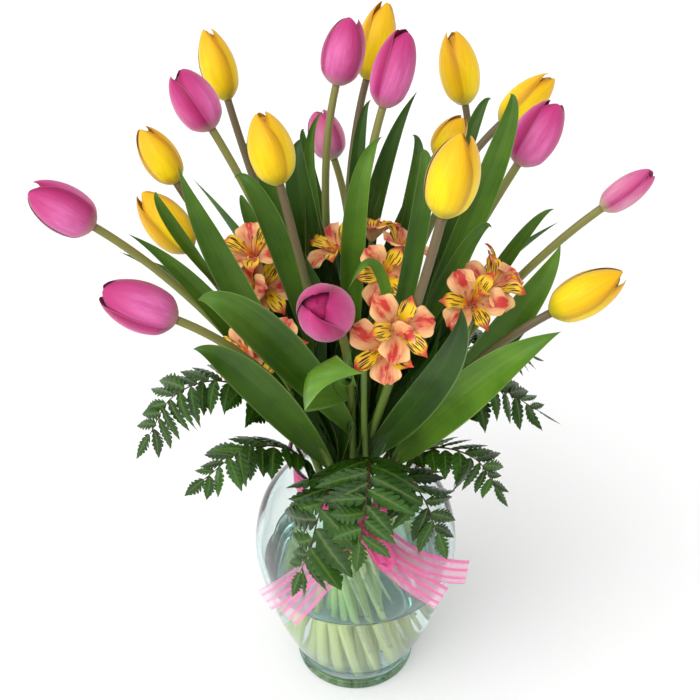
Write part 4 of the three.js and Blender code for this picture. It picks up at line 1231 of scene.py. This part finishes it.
# %% Glass and water
glass_skin, water_skin = Skin(), Skin()
glass_skin.add(spun(shell), closed=True)
water_skin.add(spun(bath), closed=True)
glass_look = clear_material("clear glass", colour(248, 253, 251), colour(112, 196, 204), 1.5)
water_look = clear_material("water", colour(254, 255, 254), colour(92, 190, 174), 1.33,
                            (WATER_LEVEL - 0.6) * MM)
glass = make_piece("vase_glass", glass_skin, glass_look, ["vase"])
make_piece("water_body", water_skin, water_look, ["water"])
print("vase and water, triangles:", made["vase_glass"], made["water_body"])

# %% [markdown]
# The ribbon is sheer hot pink organza, a strip 20 mm wide. A cloth simulation could drape it, but
# a tied bow is held by its knot and hardly hangs, so its lines are drawn instead. Where it is
# pulled together it keeps its width in small folds: the narrower the place, the deeper the folds.


# %% A strip that keeps its width
RIBBON_WIDTH = 20
RIBBON_ROWS = 90
RIBBON_COLUMNS = 31
FOLDS = 2.5


def strip(line, out, share):
    """A strip along a line, lying square to out; share is how much of its width is spread. The rest
    of the width goes into a sine wave, deep enough that its own length makes up for it."""
    v = np.linspace(-1, 1, RIBBON_COLUMNS)
    side = unit(np.cross(tangents(line), out))
    away = unit(np.cross(side, tangents(line)))
    away = away * np.sign(np.sum(away * out, -1, keepdims=True))
    share = np.clip(share, 0.2, 0.999)
    spread = RIBBON_WIDTH * share
    steep = np.sqrt(2 * (1 / share ** 2 - 1))
    depth = spread * steep / (2 * np.pi * FOLDS)
    wave = np.sin(np.pi * FOLDS * v)
    return (line[:, None] + side[:, None] * (0.5 * spread[:, None] * v)[..., None]
            + away[:, None] * (depth[:, None] * wave)[..., None])


print("a strip is", RIBBON_WIDTH, "mm wide, with", RIBBON_COLUMNS, "points across")

# %% [markdown]
# The ribbon goes once round the neck, makes two loops at the knot and ends in four tails that lie
# along the glass and stand off it a little at their ends. Each tail follows the vase's own outline,
# so it can't cut into the glass. The band is tied tight, and its folds dip into the glass by up to
# 0.9 mm at its upper edge.

# %% Loops, tails and band
KNOT_AT = np.array([0.0, -58.3, 222.0])
LOOPS = [(-22, -93, 204), (24, -93, 208)]
TAILS = [(-142, 128, 11), (-124, 134, 14), (-33, 162, 24), (-46, 146, 15)]
TAIL_START_OFF = 5
BAND_HEIGHT = 222.5
BAND_OFF = 1.6
BAND_SPREAD = 0.62
LOOP_MIDDLE = 0.55
LOOP_UPPER, LOOP_LOWER, LOOP_END = (0, -4, 9), (0, -2, -1), (0, -1, -4)


def tail_line(angle, height, off, u):
    """From the knot to a bearing and height, along the glass, ever further off it."""
    z = mix(KNOT_AT[2] - 2, height, u)
    return turned(outside_radius(z) + mix(TAIL_START_OFF, off, u), mix(FRONT, angle, u ** 0.8), z)


def away_from_glass(line):
    """The direction square to the glass beside each point: outward, less the outline's slope up."""
    z = line[:, 2]
    slope = outside_radius(z + 0.5) - outside_radius(z - 0.5)
    flat = unit(line * [1, 1, 0])
    return unit(flat - slope[:, None] * UP)


u = np.linspace(0, 1, RIBBON_ROWS)
ribbon_skin = Skin()
strips = []
for far in LOOPS:
    bow = mix(KNOT_AT, np.array(far, float), LOOP_MIDDLE)
    line = through([KNOT_AT, bow + LOOP_UPPER, far, bow + LOOP_LOWER, KNOT_AT + LOOP_END], u)
    strips.append((line, np.broadcast_to((0, -0.7, 0.7), line.shape), 0.35 + 0.45 * np.sin(np.pi * u), 1.0))
for angle, height, off in TAILS:
    line = tail_line(angle, height, off, u)
    strips.append((line, away_from_glass(line), np.minimum(0.45 + 2 * u, 1), 0.5 if angle > FRONT else 0.15))
once_round = np.linspace(FRONT, FRONT + 360, RIBBON_ROWS)
band = turned(outside_radius(BAND_HEIGHT) + BAND_OFF, once_round, BAND_HEIGHT)
strips.append((band, unit(band * [1, 1, 0]), np.full(RIBBON_ROWS, BAND_SPREAD), 1.0))
for line, out, share, dense in strips:
    ribbon_skin.add(strip(line, out, share), tone=dense)

# %% [markdown]
# Organza is a thin open weave, so its ground is see-through, and satin stripes run along it. The
# weave is far too fine to model, so it is noise and relief, and Alpha lets the glass show between
# the stripes. Near the knot many layers lie close: tone says how dense each strip looks.


# %% Organza
def ribbon_material():
    """Stripes are a sine across, cut to bands; they and the tone say how dense the cloth is."""
    material, w, shader = new_material("organza", roughness=0.32, sheen_weight=0.5, specular_ior_level=0.6)
    across, along = w.across_along()
    tone = w.number("tone")
    stripes = w.math("SINE", w.times(across, 6 * math.pi))
    satin = w.range(stripes, 0.25, 0.6)
    edge = w.range(w.from_middle(across), 0.86, 0.93)
    satin = w.math("MAXIMUM", satin, edge)
    weave = w.noise(w.place(w.times(across, 90.0), w.times(along, 400.0)), 1.0)
    ground = w.blend(tone, colour(244, 196, 220), colour(240, 60, 150))
    lines = w.blend(tone, colour(236, 110, 176), colour(232, 36, 136))
    shade = w.blend(satin, ground, lines)
    shade = w.blend(w.times(weave, 0.2), shade, colour(255, 190, 224))
    w.put(shade, shader["Base Color"])
    sheer = w.plus(w.times(satin, 0.4), w.range(tone, 0.0, 1.0, 0.3, 0.75), clamp=True)
    w.put(sheer, shader["Alpha"])
    w.bump(0.2, 0.0003, weave, shader)
    return material


organza = ribbon_material()
print("organza nodes:", len(organza.node_tree.nodes))

# %% [markdown]
# The knot is a tight lump of the same cloth. It is a ball pressed flat, with creases running over
# it: a sine round the ball that fades at both ends. The ribbon rests on the glass and is gathered
# at the knot.

# %% Ribbon and knot
KNOT_SIZE = np.array([12.0, 7.2, 11.0])
CREASES = 9
CREASE_DEPTH = 0.07
ribbon = make_piece("organza_ribbon", ribbon_skin, organza, ["ribbon"])
knot_skin = Skin()
rise = np.linspace(0, np.pi, 25)[:, None]
turn = np.linspace(0, 2 * np.pi, 48, endpoint=False)[None, :]
crease = 1 + CREASE_DEPTH * np.sin(CREASES * turn + 3 * np.cos(rise)) * np.sin(rise)
ball = np.stack([np.sin(rise) * np.cos(turn) * crease, np.sin(rise) * np.sin(turn) * crease,
                 np.cos(rise) + 0 * turn], -1)
knot_skin.add(ball * KNOT_SIZE + KNOT_AT, tone=1.0, closed=True)
knot = make_piece("ribbon_knot", knot_skin, organza, ["ribbon"])
print("pieces:", len(made), "triangles in all:", sum(made.values()), "most in one:", max(made.values()))

# %% [markdown]
# Light has to pass two faces of glass and the water, and leave again. Each pass counts as a
# bounce, so the limits for clear surfaces are set above Blender's own, and the one for dull
# surfaces below it, to save time. Standard keeps the petals' colours as they are, where a
# film-like view would grey them.

# %% Render settings
scene = bpy.context.scene
scene.view_settings.view_transform = "Standard"
scene.view_settings.look = "None"
scene.cycles.max_bounces = 16
scene.cycles.transmission_bounces = 14
scene.cycles.transparent_max_bounces = 16
scene.cycles.diffuse_bounces = 3
print("bounces through glass:", scene.cycles.transmission_bounces)

# %% [markdown]
# The set is a plain pale floor that runs out of view. It is wider than any view of it, so that no
# edge shows, and its faint mottle is too weak to see as a pattern.

# %% Floor
FLOOR_HALF = 9
floor_material, w, shader = new_material("floor", roughness=0.9)
grain = use_group(w, MOTTLE, Scale=3.0)["Mottle"]
w.put(w.blend(grain, colour(250, 250, 250), colour(252, 252, 252)), shader["Base Color"])
floor_mesh = bpy.data.meshes.new("floor")
corners = [(x * FLOOR_HALF, y * FLOOR_HALF, 0) for x, y in ((-1, -1), (1, -1), (1, 1), (-1, 1))]
floor_mesh.from_pydata(corners, [], [(0, 1, 2, 3)])
floor = bpy.data.objects.new("floor", floor_mesh)
floor_mesh.materials.append(floor_material)
scene.collection.objects.link(floor)
floor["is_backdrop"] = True
print("floor, metres across:", 2 * FLOOR_HALF)

# %% [markdown]
# All light comes from the sky: an even pale one, and a large brighter patch at the upper left
# front, like a soft box in a small studio. Lamps would do as well, but a patch of sky has no near
# edge and lights all of the bunch alike. Seen directly, the sky is as white as the floor.

# %% Sky
KEY_WAY = (-0.5, -0.55, 0.67)
KEY_EDGE, KEY_FULL = 0.76, 0.95
KEY_STRENGTH = 3.2
SKY_STRENGTH = 0.76
world = bpy.data.worlds.new("studio")
world.use_nodes = True
scene.world = world
w = Wires(world.node_tree)
way = w.add("ShaderNodeTexCoord").outputs["Generated"]
near_key = w.add("ShaderNodeVectorMath", {0: way, 1: KEY_WAY}, operation="DOT_PRODUCT").outputs["Value"]
strength = w.range(near_key, KEY_EDGE, KEY_FULL, SKY_STRENGTH, KEY_STRENGTH)
sky = world.node_tree.nodes["Background"].inputs
sky["Color"].default_value = (1.0, 1.0, 1.0, 1.0)
seen = w.add("ShaderNodeLightPath").outputs["Is Camera Ray"]
w.put(w.math("MAXIMUM", strength, seen), sky["Strength"])
print("key light over sky light:", round(KEY_STRENGTH / SKY_STRENGTH, 1))

# %% [markdown]
# The camera looks down on the bunch from the front, as a photographer does who stands at a table:
# 0.86 m high, 0.72 m in front and tipped down by 35.5 degrees. These numbers, and the lens, are
# those at which the vase's outline falls on the one in the photograph.

# %% Camera
TIPPED_DOWN = 35.5
camera_data = bpy.data.cameras.new("camera")
camera_data.sensor_width = 36
camera_data.lens = 58.17
camera = bpy.data.objects.new("camera", camera_data)
camera.location = (-0.005, -0.72, 0.86)
camera.rotation_euler = (math.radians(90 - TIPPED_DOWN), 0, 0)
scene.collection.objects.link(camera)
scene.camera = camera
print("camera, metres from the vase:", round(float(np.linalg.norm(camera.location)), 2))

# %% [markdown]
# Last, the finished pieces are measured. Their box should be close to the plain solids' box, or a
# piece has strayed.

# %% Sizes
low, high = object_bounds()
print("finished box in mm:", [round(1000 * (h - l), 1) for l, h in zip(low, high)])
